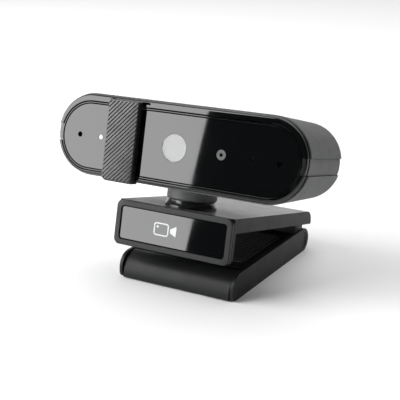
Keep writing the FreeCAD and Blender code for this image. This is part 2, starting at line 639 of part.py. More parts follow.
def make_neck_fasteners():
    base = ("0", "0")
    head_low = "recess_depth - plate_thick - washer_thick - swivel_head_thick"
    head = rod("swivel_screw_head", "swivel_head", "swivel_head_thick", *base, head_low, ALONG_Z)
    shank = rod("swivel_screw_shank", "swivel_screw",
                f"swivel_height + swivel_gap + nut_length + nut_proud - ({head_low})", *base, head_low,
                ALONG_Z)
    slot = block("swivel_slot", ("-swivel_slot_half", "swivel_slot_half"),
                 ("-swivel_slot_wide / 2", "swivel_slot_wide / 2"),
                 (f"{head_low} - edge_over", f"{head_low} + swivel_slot_deep"))
    node(cut("swivel_screw_cut", fuse("swivel_screw_all", head, shank), slot), "swivel_screw", NECK)
    washer = rod("washer_disc", "recess_radius - washer_inset", "washer_thick", *base,
                 "recess_depth - plate_thick - washer_thick", ALONG_Z)
    hole = rod("washer_hole", "swivel_screw + run_gap", "plate_thick", *base, "-plate_thick", ALONG_Z)
    node(cut("washer_cut", washer, hole), "swivel_washer", NECK)
    nut = rod("nut_body", "nut_radius", "nut_length", *base, "swivel_height + swivel_gap", ALONG_Z)
    thread = rod("nut_bore", "swivel_screw + snug_gap / 2", "2 * nut_length", *base, "swivel_height",
                 ALONG_Z)
    node(cut("nut_cut", nut, thread), "swivel_nut", NECK)


# ---- upper bracket ----

def make_bracket():
    low, high = "plate_top - plate_thick", "plate_top"
    front = "-plate_reach + frame_depth"
    body_front = f"{front} + groove_wide"
    lip_back = "-plate_reach + lip_thick"
    half = "plate_width / 2"
    lip_low = "plate_top - lip_height"
    plate = block("plate_block", (f"-{half}", half), (body_front, "plate_tail"), (low, high))
    plate_round = rounded("plate_rounded", plate, (side_edge("plate_tail", high), "plate_round"),
                          (side_edge("plate_tail", low), "plate_low_round"))
    lip = block("lip_block", (f"-{half}", half), (body_front, lip_back), (lip_low, high))

    def lip_corner(a, b):
        return near(a.z, lip_low) and near(b.z, lip_low) and abs(a.x - b.x) < NEAR

    lip_round = rounded("lip_rounded", lip, (lip_corner, "frame_corner"))
    core = block("lip_core", (f"-{half} + groove_deep", f"{half} - groove_deep"), (front, lip_back),
                 (f"{lip_low} + groove_deep", f"{high} - groove_deep"))
    knuckle_half = "leg_width / 2 - arm_thick - hinge_washer - 2 * side_gap"
    barrel = rod("knuckle_barrel", "knuckle_radius", f"2 * ({knuckle_half})", f"-({knuckle_half})", "0",
                 "0", ALONG_X)
    web = block("knuckle_web", (f"-({knuckle_half})", knuckle_half), ("-neck_half", "neck_half"),
                ("0", f"{low} + nose_sink"))
    tools = [
        rod("knuckle_bore", "pin_radius + run_gap", "2 * leg_width", "-leg_width", "0", "0", ALONG_X),
        rod("swivel_recess", "recess_radius", "recess_depth + cut_over", "0", "-neck_reach",
            f"{low} - cut_over", ALONG_Z),
        rod("swivel_bore", "swivel_screw + run_gap", "2 * plate_top", "0", "-neck_reach", "0", ALONG_Z),
        rod("insert_hole", "insert_radius + snug_gap / 2", "insert_length + cut_over", "0", "-insert_reach",
            f"{low} - cut_over", ALONG_Z),
    ]
    node(cut("bracket_cut", fuse("bracket_all", plate_round, lip_round, core, barrel, web), *tools),
         "clip_bracket", BRACKET)


def make_bracket_front():
    middle = "plate_top - lip_height / 2"
    start = "-plate_reach"
    frame = slab("frame_outer", "frame_width", "lip_height", start, "frame_depth", corner="frame_corner",
                 rise=middle)
    soften(frame, "frame_edge", start, "frame_bevel")
    hole = slab("frame_hole", "frame_width - 2 * frame_wall", "lip_height - 2 * frame_wall",
                f"{start} - cut_over",
                "frame_depth + 2 * cut_over", corner="frame_inner_corner", rise=middle)
    node(cut("frame_cut", frame, hole), "front_frame", BRACKET)
    badge = slab("badge_plate", "frame_width - 2 * frame_wall - 2 * badge_gap",
                 "lip_height - 2 * frame_wall - 2 * badge_gap",
                 f"{start} + frame_depth - badge_thick", "badge_thick",
                 corner="frame_inner_corner - badge_gap", rise=middle)
    soften(badge, "badge_edge", f"{start} + frame_depth - badge_thick", "badge_bevel")
    node(badge, "name_plate", BRACKET)


def make_bracket_fittings():
    low = "plate_top - plate_thick"
    insert = rod("insert_body", "insert_radius", "insert_length", "0", "-insert_reach", low, ALONG_Z)
    thread = rod("insert_thread", "insert_bore", "2 * insert_length", "0", "-insert_reach",
                 f"{low} - cut_over", ALONG_Z)
    node(cut("insert_cut", insert, thread), "tripod_insert", BRACKET)
    half = "plate_width / 2 - pad_inset"
    pad_low = f"{low} - pad_thick"
    front_pad = block("pad_front", (f"-({half})", half),
                      ("-neck_reach + recess_radius + lip_pad_rise",
                       "-insert_reach - insert_radius - pad_clear"),
                      (pad_low, low))
    rear_pad = block("pad_rear", (f"-({half})", half), ("-insert_reach + insert_radius + pad_clear",
                      "-insert_reach + insert_radius + pad_clear + rear_pad_length"),
                     (pad_low, low))
    node(group("plate_pad_pair", front_pad, rear_pad), "plate_pads", BRACKET)
    lip_back = "-plate_reach + lip_thick"
    node(block("lip_pad_block", (f"-({half})", half), (lip_back, f"{lip_back} + pad_thick"),
               ("plate_top - lip_height + lip_pad_rise", "plate_top - plate_thick - pad_clear")), "lip_pad",
               BRACKET)


# ---- lower leg ----

def make_leg():
    half = "leg_width / 2"
    inner = "leg_width / 2 - arm_thick"
    front, back = "-leg_length / 2", "leg_length / 2"
    full_round = "leg_height / 2 - side_gap"
    arms = []
    for side, span in (("left", (f"-{half}", f"-({inner})")), ("right", (inner, half))):
        arm = block(f"{side}_arm", span, (front, back), ("0", "leg_height"))
        arms.append(rounded(f"{side}_arm_round", arm, (side_edge(front, "leg_height"), "arm_round"),
                            (side_edge(front, "0"), "arm_toe"), (side_edge(back, "leg_height"), full_round),
                            (side_edge(back, "0"), full_round)))
    reach = f"{inner} + join_over"
    web = block("leg_web", (f"-({reach})", reach), (f"{front} + web_front", f"{back} - web_rear"),
                ("leg_height - web_drop - web_thick", "leg_height - web_drop"))
    bar = block("leg_bar", (f"-({reach})", reach), (f"{back} - web_rear - bar_deep", f"{back} - web_rear"),
                ("0", "leg_height - web_drop - web_thick / 2"))
    axis_y, axis_z = f"{back} - hinge_inset", "leg_height / 2"
    foot_y = f"{front} + foot_inset"
    pin_half = f"{half} - cap_recess - side_gap"
    tools = [
        rod("rear_pin_hole", "pin_radius + snug_gap / 2", "2 * leg_width", "-leg_width", axis_y, axis_z,
            ALONG_X),
        rod("front_pin_hole", "foot_pin + snug_gap / 2", f"2 * ({pin_half} + side_gap)",
            f"-({pin_half} + side_gap)", foot_y, axis_z, ALONG_X),
        rod("left_cap_hole", "cap_radius + cap_play", "cap_recess", f"-{half}", axis_y, axis_z, ALONG_X),
        rod("right_cap_hole", "cap_radius + cap_play", "cap_recess", f"{half} - cap_recess", axis_y, axis_z,
            ALONG_X),
    ]
    node(cut("leg_cut", fuse("leg_all", *arms, web, bar), *tools), "lower_leg", LEG)
    node(rod("rear_pin", "pin_radius", f"2 * ({pin_half})", f"-({pin_half})", axis_y, axis_z, ALONG_X),
         "rear_hinge_pin", LEG)
    node(rod("front_pin", "foot_pin", f"2 * ({pin_half})", f"-({pin_half})", foot_y, axis_z, ALONG_X),
         "front_hinge_pin", LEG)
    caps = [rod("left_cap", "cap_radius", "cap_thick", f"-{half} + cap_recess - cap_thick", axis_y, axis_z,
                ALONG_X),
            rod("right_cap", "cap_radius", "cap_thick", f"{half} - cap_recess", axis_y, axis_z, ALONG_X)]
    node(group("cap_pair", *caps), "hinge_caps", LEG)
    washers = []
    for side, start in (("left", f"-({inner}) + side_gap"),
                        ("right", f"{inner} - side_gap - hinge_washer")):
        disc = rod(f"{side}_washer_disc", "knuckle_radius - washer_inset", "hinge_washer", start, axis_y,
                   axis_z, ALONG_X)
        hole = rod(f"{side}_washer_hole", "pin_radius + snug_gap", "2 * hinge_washer",
                   f"{start} - edge_over", axis_y, axis_z, ALONG_X)
        washers.append(cut(f"{side}_washer_cut", disc, hole))
    node(group("hinge_washer_pair", *washers), "hinge_washers", LEG)
    node(block("leg_pad_block", ("-foot_half + leg_pad_inset", "foot_half - leg_pad_inset"),
               (f"{front} + web_front + leg_pad_end", f"{back} - web_rear - leg_pad_end"),
               ("leg_height - web_drop", "leg_height - web_drop + pad_thick")), "leg_pad", LEG)


# ---- folding foot ----

def make_foot():
    low = "-leg_height / 2 + foot_pad"
    bottom = "-leg_height / 2 + nose_clear"
    nose_box = block("nose_box", ("-foot_half", "foot_half"), ("-foot_inset", "nose_back"),
                     (bottom, "leg_height / 2 - nose_drop"))
    nose_rod = rod("nose_rod", "nose_radius", "2 * foot_half", "-foot_half", "nose_radius - foot_inset",
                   f"{bottom} + nose_sink", ALONG_X)
    nose = common("nose", nose_box, nose_rod)
    flap = block("flap_block", ("-foot_half", "foot_half"), ("0", "foot_length"), (low, "foot_top"))
    flap_round = rounded("flap_rounded", flap, (side_edge("foot_length", low), "flap_round"),
                         (side_edge("foot_length", "foot_top"), "flap_round"))
    bore = rod("foot_bore", "foot_pin + run_gap", "2 * leg_width", "-leg_width", "0", "0", ALONG_X)
    node(cut("foot_cut", fuse("foot_all", nose, flap_round), bore), "folding_foot", FOOT)
    node(block("foot_pad_block", ("-foot_half + foot_pad_inset", "foot_half - foot_pad_inset"),
               ("foot_pad_start", "foot_length - foot_pad_inset"), (f"{low} - foot_pad", low)),
         "foot_pad", FOOT)


def problems():
    """Names of the objects that failed, and of sub-parts with no sound shape."""
    found = [o.Name for o in doc.Objects if "Invalid" in o.State or "Error" in o.State]
    for feature in node_list:
        shape = feature.Shape
        if shape.isNull() or not shape.isValid() or shape.Volume < NEAR:
            found.append(feature.Label)
    return found


make_covers()
make_trims()
make_panel()
make_electronics()
make_lens()
make_screws()
make_grommet()
make_slider()
make_swivel_base()
make_neck_fasteners()
make_bracket()
make_bracket_front()
make_bracket_fittings()
make_leg()
make_foot()
doc.recompute()

faults = problems()
if faults:
    raise RuntimeError("not built: " + ", ".join(faults))
os.makedirs("parts", exist_ok=True)
for feature in node_list:
    feature.Shape.exportStep(f"parts/{feature.Label}.step")
    print(feature.Label, len(feature.Shape.Solids), round(feature.Shape.Volume, 2))
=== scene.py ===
import bmesh
import bpy
import json
import math
from mathutils import Matrix, Vector


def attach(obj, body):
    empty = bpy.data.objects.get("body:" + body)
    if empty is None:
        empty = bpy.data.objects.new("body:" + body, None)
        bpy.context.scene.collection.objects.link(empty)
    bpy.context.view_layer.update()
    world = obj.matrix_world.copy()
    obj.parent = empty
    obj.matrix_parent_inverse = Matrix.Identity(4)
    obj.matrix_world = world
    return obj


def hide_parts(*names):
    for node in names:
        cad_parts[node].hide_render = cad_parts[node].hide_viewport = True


# A webcam on a folding screen-clip stand. Shapes are made in millimetres in the frame of the part
# they belong to, and each frame's place turns them into metres.

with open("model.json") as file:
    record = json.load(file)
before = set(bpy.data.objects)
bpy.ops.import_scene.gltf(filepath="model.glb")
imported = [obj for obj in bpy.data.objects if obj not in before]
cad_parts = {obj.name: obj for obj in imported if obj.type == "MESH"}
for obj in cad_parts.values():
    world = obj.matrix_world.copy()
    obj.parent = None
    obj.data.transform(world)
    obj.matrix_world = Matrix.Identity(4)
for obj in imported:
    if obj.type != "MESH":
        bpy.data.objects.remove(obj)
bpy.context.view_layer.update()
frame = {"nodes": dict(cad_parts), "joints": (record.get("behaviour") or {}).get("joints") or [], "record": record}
print("frame loaded:", len(frame["nodes"]), "parts")

joints = {joint["name"]: joint for joint in frame["joints"]}
slotOf = {part["node"]: part["material_slot"] for part in frame["record"]["subparts"]}
millimetre = 0.001
weld, sliver = 1e-4, 1e-5  # points this close are joined, edges this short are dissolved
quarter = math.radians(90)
over = 1.0  # how far a cutting tool stands past the face it cuts
leastCorner = 0.02


# Places and measures.

def placeAt(origin, back, up):
    side = back.cross(up)
    turn = Matrix((side, back, up)).transposed().to_4x4()
    return Matrix.Translation(origin) @ turn @ Matrix.Scale(millimetre, 4)


def span(place, *names):
    # lowest and highest corner of some CAD parts, in millimetres in one frame
    back = place.inverted()
    points = [back @ v.co for name in names for v in frame["nodes"][name].data.vertices]
    low = Vector([min(p[axis] for p in points) for axis in range(3)])
    high = Vector([max(p[axis] for p in points) for axis in range(3)])
    return low, high


neckUp = Vector(joints["head_swivel"]["axis"]).normalized()
neckBack = Vector((0, neckUp.z, -neckUp.y))
standPlace = placeAt(Vector(joints["head_swivel"]["pos_m"]), neckBack, neckUp)
rimLow, rimHigh = span(standPlace, "upper_trim", "lower_trim")
headPlace = standPlace @ Matrix.Translation((0, rimLow.y, (rimLow.z + rimHigh.z) / 2))
groundPlace = Matrix.Scale(millimetre, 4)
footPlace = Matrix.Translation(Vector(joints["foot_hinge"]["pos_m"])) @ groundPlace
toSide = Matrix.Rotation(quarter, 4, "Y")
toFront = Matrix.Rotation(quarter, 4, "X")


# Outlines.

def rounded(corners, steps=8):
    # corners are (a, b, radius); each one becomes an arc of that radius
    points = []
    for k, (a, b, radius) in enumerate(corners):
        here = Vector((a, b))
        before = (Vector(corners[k - 1][:2]) - here).normalized()
        after = (Vector(corners[(k + 1) % len(corners)][:2]) - here).normalized()
        if radius <= 0:
            points.append((a, b))
            continue
        half = before.angle(after) / 2
        centre = here + (before + after).normalized() * radius / math.sin(half)
        start = here + before * radius / math.tan(half) - centre
        finish = here + after * radius / math.tan(half) - centre
        first = math.atan2(start.y, start.x)
        sweep = math.atan2(finish.y, finish.x) - first
        sweep = (sweep + math.pi) % (2 * math.pi) - math.pi
        for step in range(steps + 1):
            angle = first + sweep * step / steps
            points.append((centre.x + radius * math.cos(angle), centre.y + radius * math.sin(angle)))
    return points


def outline(wide, tall, corner=None, rise=0.0, steps=16):
    # a rectangle with round corners; with no corner given its ends are half circles
    x, z = wide / 2, tall / 2
    radius = z if corner is None else max(corner, leastCorner)
    sides = [(x, z + rise), (-x, z + rise), (-x, rise - z), (x, rise - z)]
    return rounded([(a, b, radius) for a, b in sides], steps)


def disc(radius, steps=64):
    return [(radius * math.cos(2 * math.pi * k / steps), radius * math.sin(2 * math.pi * k / steps))
            for k in range(steps)]


# Solids.

def loft(rings, looped=False):
    # rings of points with the same count, joined in order
    solid = bmesh.new()
    rows = [[solid.verts.new(point) for point in ring] for ring in rings]
    pairs = list(zip(rows, rows[1:]))
    if looped:
        pairs.append((rows[-1], rows[0]))
    for low, high in pairs:
        for k in range(len(low)):
            after = (k + 1) % len(low)
            solid.faces.new((low[k], low[after], high[after], high[k]))
    if not looped:
        solid.faces.new(rows[0])
        solid.faces.new(rows[-1])
    bmesh.ops.remove_doubles(solid, verts=solid.verts, dist=weld)
    bmesh.ops.dissolve_degenerate(solid, edges=solid.edges, dist=sliver)
    bmesh.ops.recalc_face_normals(solid, faces=solid.faces)
    return solid


def slab(wide, tall, sections, corner=None, rise=0.0):
    # sections are (depth, inset) of one outline, front to back
    rings = []
    for depth, inset in sections:
        radius = None if corner is None else corner - inset
        points = outline(wide - 2 * inset, tall - 2 * inset, radius, rise)
        rings.append([(x, depth, z) for x, z in points])
    return loft(rings)


def hoop(outer, inner, outerSections, innerSections):
    # a frame between two outlines, given as (wide, tall, corner, rise) and sections (depth, inset)
    rings = []
    both = ((inner, reversed(innerSections)), (outer, outerSections))
    for (wide, tall, corner, rise), sections in both:
        for depth, inset in sections:
            radius = None if corner is None else corner - inset
            points = outline(wide - 2 * inset, tall - 2 * inset, radius, rise)
            rings.append([(x, depth, z) for x, z in points])
    return loft(rings, looped=True)


def roundEdge(depth, radius, steps=6, start=0.0):
    # sections of a front edge with a radius
    turns = [math.pi / 2 * step / steps for step in range(steps + 1)]
    return [(depth + radius * (1 - math.cos(t)), start + radius * (1 - math.sin(t))) for t in turns]


def prism(points, low, high, axis="x"):
    # an outline pushed along an axis; its points are in the other two axes
    spots = {"x": lambda a, b, d: (d, a, b), "y": lambda a, b, d: (a, d, b),
             "z": lambda a, b, d: (a, b, d)}
    return loft([[spots[axis](a, b, depth) for a, b in points] for depth in (low, high)])


def box(low, high):
    corners = [(low[0], low[1]), (high[0], low[1]), (high[0], high[1]), (low[0], high[1])]
    return prism(corners, low[2], high[2], "z")


def lathe(profile, segments=72):
    # a closed profile of (radius, height) turned round the upright axis
    rings = []
    for k in range(segments):
        angle = 2 * math.pi * k / segments
        rings.append([(r * math.cos(angle), r * math.sin(angle), z) for r, z in profile])
    return loft(rings, looped=True)


def moved(solid, place):
    bmesh.ops.transform(solid, matrix=place, verts=solid.verts)
    return solid


def joined(*solids):
    whole = bmesh.new()
    for solid in solids:
        mesh = bpy.data.meshes.new("part")
        solid.to_mesh(mesh)
        whole.from_mesh(mesh)
        bpy.data.meshes.remove(mesh)
    return whole


def carved(base, tools, operation="DIFFERENCE"):
    spare = []
    for solid in (base, *tools):
        mesh = bpy.data.meshes.new("spare")
        solid.to_mesh(mesh)
        item = bpy.data.objects.new("spare", mesh)
        bpy.context.scene.collection.objects.link(item)
        spare.append(item)
    for tool in spare[1:]:
        step = spare[0].modifiers.new("carve", "BOOLEAN")
        step.operation = operation
        step.solver = "EXACT"
        step.object = tool
    shape = bpy.data.meshes.new_from_object(spare[0].evaluated_get(bpy.context.evaluated_depsgraph_get()))
    result = bmesh.new()
    result.from_mesh(shape)
    bpy.data.meshes.remove(shape)
    for item in spare:
        mesh = item.data
        bpy.data.objects.remove(item)
        bpy.data.meshes.remove(mesh)
    bmesh.ops.remove_doubles(result, verts=result.verts, dist=weld)
    bmesh.ops.dissolve_degenerate(result, edges=result.edges, dist=sliver)
    return result


# Finishes.

def newFinish(name):
    material = bpy.data.materials.new(name)
    material.use_nodes = True
    nodes = material.node_tree.nodes
    links = material.node_tree.links
    shader = nodes["Principled BSDF"]
    coordinates = nodes.new("ShaderNodeTexCoord")
    return material, nodes, links, shader, coordinates.outputs["Object"]


def noise(nodes, links, spot, size, detail=2.0):
    # size is the width of one blotch in millimetres
    texture = nodes.new("ShaderNodeTexNoise")
    texture.inputs["Scale"].default_value = 1 / (size * millimetre)
    texture.inputs["Detail"].default_value = detail
    links.new(spot, texture.inputs["Vector"])
    return texture.outputs["Fac"]


noiseRange = (0.3, 0.7)  # where most of a noise's values lie


def spread(nodes, links, value, low, high):
    ramp = nodes.new("ShaderNodeMapRange")
    ramp.inputs["From Min"].default_value = noiseRange[0]
    ramp.inputs["From Max"].default_value = noiseRange[1]
    ramp.inputs["To Min"].default_value = low
    ramp.inputs["To Max"].default_value = high
    links.new(value, ramp.inputs["Value"])
    return ramp.outputs["Result"]


def tinted(nodes, links, value, colour, change):
    # a colour that wanders a little lighter and darker
    mix = nodes.new("ShaderNodeMix")
    mix.data_type = "RGBA"
    mix.inputs["A"].default_value = [c * (1 - change) for c in colour] + [1]
    mix.inputs["B"].default_value = [c * (1 + change) for c in colour] + [1]
    links.new(value, mix.inputs["Factor"])
    return mix.outputs["Result"]


def plastic(name, colour, rough, grain, depth, change=0.12, roughChange=0.05, shine=0.5, blotch=6.0):
    # grain and depth are the width and height of the moulded texture in millimetres
    material, nodes, links, shader, spot = newFinish(name)
    coarse = noise(nodes, links, spot, blotch)
    fine = noise(nodes, links, spot, grain, 3.0)
    links.new(tinted(nodes, links, fine, colour, change), shader.inputs["Base Color"])
    links.new(spread(nodes, links, coarse, rough - roughChange, rough + roughChange),
              shader.inputs["Roughness"])
    bump = nodes.new("ShaderNodeBump")
    bump.inputs["Distance"].default_value = depth * millimetre
    bump.inputs["Strength"].default_value = 1.0
    links.new(fine, bump.inputs["Height"])
    links.new(bump.outputs["Normal"], shader.inputs["Normal"])
    shader.inputs["Specular IOR Level"].default_value = shine
    return material


def metal(name, colour, rough, grain=0.4, change=0.08, spreadOf=(0.8, 1.25)):
    material, nodes, links, shader, spot = newFinish(name)
    fine = noise(nodes, links, spot, grain, 4.0)
    links.new(tinted(nodes, links, fine, colour, change), shader.inputs["Base Color"])
    links.new(spread(nodes, links, fine, rough * spreadOf[0], rough * spreadOf[1]),
              shader.inputs["Roughness"])
    shader.inputs["Metallic"].default_value = 1.0
    return material


def glass(name, colour, density, rough=0.03, change=0.04, spreadOf=(0.7, 1.4)):
    # density is the index of refraction
    material, nodes, links, shader, spot = newFinish(name)
    haze = noise(nodes, links, spot, 3.0, 3.0)
    links.new(spread(nodes, links, haze, rough * spreadOf[0], rough * spreadOf[1]),
              shader.inputs["Roughness"])
    links.new(tinted(nodes, links, haze, colour, change), shader.inputs["Base Color"])
    shader.inputs["IOR"].default_value = density
    shader.inputs["Transmission Weight"].default_value = 1.0
    return material


finishes = {
    "textured_black": plastic("texturedShell", (0.092, 0.094, 0.095), 0.6, 0.7, 0.16, 0.6),
    "satin_black": plastic("satinBlack", (0.012, 0.0125, 0.013), 0.42, 0.22, 0.006, shine=0.18),
    "satin_grey": plastic("satinGrey", (0.016, 0.0165, 0.017), 0.4, 0.22, 0.006, shine=0.25),
    "gloss_black": plastic("pianoBlack", (0.0025, 0.003, 0.0032), 0.03, 2.5, 0.0, 0.2, 0.008, 0.5, 9.0),
    "clear_glass": glass("coatedGlass", (0.75, 0.8, 0.82), 1.42),
    "black_rubber": plastic("softRubber", (0.028, 0.028, 0.029), 0.78, 0.18, 0.012),
    "steel": metal("platedSteel", (0.58, 0.58, 0.6), 0.28),
    "brass": metal("turnedBrass", (0.72, 0.56, 0.25), 0.3),
    "board_green": plastic("solderMask", (0.03, 0.14, 0.07), 0.35, 0.6, 0.01),
    "component_black": plastic("mouldedPackage", (0.03, 0.03, 0.03), 0.5, 0.15, 0.01),
    "lamp_white": plastic("printWhite", (0.6, 0.62, 0.62), 0.35, 0.3, 0.002, 0.03),
    "foam_tape": plastic("foamTape", (0.05, 0.05, 0.05), 0.85, 0.3, 0.03),
}
# a much lighter copy of the plate's satin black: painted light and sheen on the plate's top, where it catches the
# light from above
finishes["plate_top"] = plastic("plateTopPaintedLight", (0.165, 0.167, 0.168), 0.36, 0.5, 0.03, 0.4, shine=0.9)
finishes["window_glass"] = glass("tintedWindow", (0.12, 0.13, 0.135), 1.74)
finishes["ring_grey"] = plastic("ringGrey", (0.05, 0.052, 0.052), 0.4, 0.3, 0.004)
finishes["slider_black"] = plastic("sliderBlack", (0.012, 0.0125, 0.013), 0.3, 0.22, 0.004)
finishes["smooth_black"] = plastic("smoothBlack", (0.010, 0.0105, 0.011), 0.2, 0.3, 0.002)
for name, part in frame["nodes"].items():
    part.data.materials.clear()
    part.data.materials.append(finishes[slotOf[name]])
print("finishes made:", len(finishes))


cornerAngle = math.radians(40)  # edges turning by more than this are rounded


def finished(name, solid, place, body, slot, stands=(), edge=0.0, finish=None, smooth=32):
    # one shown piece: its mesh, finish, edge round and the body that it rides on
    mesh = bpy.data.meshes.new(name)
    solid.to_mesh(mesh)
    solid.free()
    mesh.transform(place)
    mesh.materials.append(finishes[finish or slot])
    mesh.polygons.foreach_set("use_smooth", [True] * len(mesh.polygons))
    mesh.set_sharp_from_angle(angle=math.radians(smooth))
    made = bpy.data.objects.new(name, mesh)
    bpy.context.scene.collection.objects.link(made)
    if edge:
        bevel = made.modifiers.new("edge", "BEVEL")
        bevel.width = edge * millimetre
        bevel.segments = 2
        bevel.limit_method = "ANGLE"
        bevel.angle_limit = cornerAngle
        bevel.harden_normals = True
    even = made.modifiers.new("even", "WEIGHTED_NORMAL")
    even.keep_sharp = True
    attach(made, body)
    if stands:
        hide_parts(*stands)
    return made


# Camera head: covers, belt, trims.

head = {"draft": 2.5, "wall": 1.8, "rearRound": 3.0, "seam": 0.12, "trimRound": 0.95, "lip": 0.12,
        "beltInset": 0.5, "trimInset": 0.5, "collar": 9.4, "collarEdge": 0.45, "collarSink": 4.0,
        "coverEdge": 0.18, "beltEdge": 0.1, "turns": 8, "nearBack": 0.05}
coverLow, coverHigh = span(headPlace, "top_cover", "bottom_cover")
beltLow, beltHigh = span(headPlace, "middle_frame")
trimHigh = span(headPlace, "upper_trim", "lower_trim")[1]
panelLow, panelHigh = span(headPlace, "front_panel")
shellLow = span(headPlace, "top_cover")[0]
coverWide = 2 * (beltHigh.x + head["beltInset"])
coverTall = 2 * coverHigh.z
coverFront, coverBack = coverLow.y, coverHigh.y
panelWide, panelTall = panelHigh.x - panelLow.x, panelHigh.z - panelLow.z
panelRise = (panelHigh.z + panelLow.z) / 2


def shellSections(inset, front, back, corner):
    # a side that leans in towards the back and ends in a round
    lean = math.tan(math.radians(head["draft"]))
    side = [(front, inset + (front - coverFront) * lean),
            (back - corner, inset + (back - corner - coverFront) * lean)]
    turned = [math.pi / 2 * step / head["turns"] for step in range(1, head["turns"] + 1)]
    last = side[-1][1]
    return side + [(back - corner * (1 - math.sin(t)), last + corner * (1 - math.cos(t))) for t in turned]


def shell(outerInset, innerInset, back, corner):
    outer = shellSections(outerInset, coverFront, back, corner)
    inner = shellSections(innerInset, coverFront, coverBack - head["wall"],
                          head["rearRound"] - head["wall"] / 2)
    rings = [[(x, depth, z) for x, z in outline(coverWide - 2 * inset, coverTall - 2 * inset)]
             for depth, inset in [*reversed(inner), *outer]]
    return loft(rings)


def layer(low, high):
    reach = coverWide
    return box((-reach, -reach, low), (reach, reach, high))


def makeCovers():
    whole = shell(0.0, head["wall"], coverBack, head["rearRound"])
    upper = carved(whole.copy(), [layer(shellLow.z, coverTall)], "INTERSECT")
    finished("topShell", upper, headPlace, "camera_head", "textured_black", ["top_cover"],
             head["coverEdge"])
    lower = carved(whole, [layer(-coverTall, beltEdges()[0] - head["seam"])], "INTERSECT")
    collarTop = head["collarSink"] - coverTall / 2
    radius, edge = head["collar"], head["collarEdge"]
    collar = lathe([(0, coverLow.z), (radius - edge, coverLow.z), (radius, coverLow.z + edge),
                    (radius, collarTop), (0, collarTop)], 96)
    lower = carved(lower, [moved(collar, Matrix.Translation((0, -rimLow.y, 0)))], "UNION")
    finished("bottomShell", lower, headPlace, "camera_head", "textured_black", ["bottom_cover"],
             head["coverEdge"])


def beltEdges():
    # the belt's height is the middle frame's height at its rear wall
    back = headPlace.inverted()
    points = [back @ v.co for v in frame["nodes"]["middle_frame"].data.vertices]
    rear = [p.z for p in points if p.y > beltHigh.y - head["nearBack"]]
    return min(rear), max(rear)


ring = {"wall": 0.5, "gap": 0.15, "trimGap": 0.3, "edge": 0.14, "back": 4.0, "tabInset": 0.3,
        "tabLap": 0.2, "tabRound": 0.6}


def makeBelt():
    low, high = beltEdges()
    inset = head["beltInset"]
    band = carved(shell(inset, head["wall"], beltHigh.y, head["rearRound"] - inset), [layer(low, high)],
                  "INTERSECT")
    finished("beltBand", band, headPlace, "camera_head", "satin_black", ["middle_frame"],
             head["beltEdge"], "textured_black")
    ringWall, ringGap, ringFront, ringEdge = ring["wall"], ring["gap"], beltLow.y, ring["edge"]
    back = ring["back"]
    inner = (panelWide + 2 * ringGap, panelTall + 2 * ringGap, None, panelRise)
    outer = (inner[0] + 2 * ringWall, inner[1] + 2 * ringWall, None, panelRise)
    solid = hoop(outer, inner, [(ringFront, ringEdge), (ringFront + ringEdge, 0), (back, 0)],
                 [(ringFront, -ringEdge), (ringFront + ringEdge, 0), (back, 0)])
    finished("lightRing", solid, headPlace, "camera_head", "satin_black", (), 0, "gloss_black")
    tabInset, tabFront = ring["tabInset"], panelLow.y
    tabWide = coverWide - 2 * head["trimInset"] - 2 * tabInset
    tabOuter = (tabWide, trimHigh.z * 2 - 2 * tabInset, None, 0.0)
    tabInner = (outer[0] - ring["tabLap"], outer[1] - ring["tabLap"], None, panelRise)
    tabs = hoop(tabOuter, tabInner, [*roundEdge(tabFront, ring["tabRound"], 5), (back, 0)],
                [(tabFront, 0), (back, 0)])
    tabs = carved(tabs, [layer(low, high)], "INTERSECT")
    finished("endTabs", tabs, headPlace, "camera_head", "satin_black", (), 0, "smooth_black")


trackCut = {"before": 0.3, "end": 7.6, "deep": 1.3, "below": 0.8, "above": 0.15}


def makeTrims():
    low, high = beltEdges()
    reach = ring["wall"] + ring["gap"] + ring["trimGap"]
    inner = (panelWide + 2 * reach, panelTall + 2 * reach, None, panelRise)
    outer = (coverWide - 2 * head["trimInset"], trimHigh.z * 2, None, 0.0)
    back = trimHigh.y
    whole = hoop(outer, inner, [*roundEdge(0, head["trimRound"], 8), (back, 0)],
                 [(0, -head["lip"]), (head["lip"], 0), (back, 0)])
    sliderLow, sliderHigh = span(headPlace, "privacy_slider")
    track = box((sliderLow.x - trackCut["before"], -over, sliderHigh.z - trackCut["below"]),
                (trackCut["end"], trackCut["deep"], sliderHigh.z + trackCut["above"]))
    upper = carved(whole.copy(), [layer(high + head["seam"], coverTall)], "INTERSECT")
    upper = carved(upper, [track])
    finished("upperTrim", upper, headPlace, "camera_head", "gloss_black", ["upper_trim"])
    lower = carved(whole, [layer(-coverTall, low - head["seam"])], "INTERSECT")
    finished("lowerTrim", lower, headPlace, "camera_head", "gloss_black", ["lower_trim"])


makeCovers()
makeBelt()
makeTrims()
print("head covers and trims made")


# Front panel and what looks through it.

sightHoles = {"lens_window": 5.0, "status_light_pipe": 0.94, "light_sensor_ring": 1.9,
              "proximity_window": 0.65}
sightLooks = {"lens_window": "window_glass", "status_light_pipe": "lamp_white",
              "light_sensor_ring": "ring_grey"}
panel = {"micHole": 1.0, "edge": 0.22, "deep": 4.0, "play": 0.04, "buttonEdge": 0.05,
         "sensorBore": 0.65, "windowSet": 0.05}


def centreOf(name):
    low, high = span(headPlace, name)
    return (low + high) / 2


def button(radius, front, back, edge=0.06, bore=0.0):
    # a short round piece facing the front, with a soft edge and maybe a hole
    profile = [(bore, front), (radius - edge, front), (radius, front + edge), (radius, back),
               (bore, back)]
    return moved(lathe([(r, -z) for r, z in profile], 64), toFront)


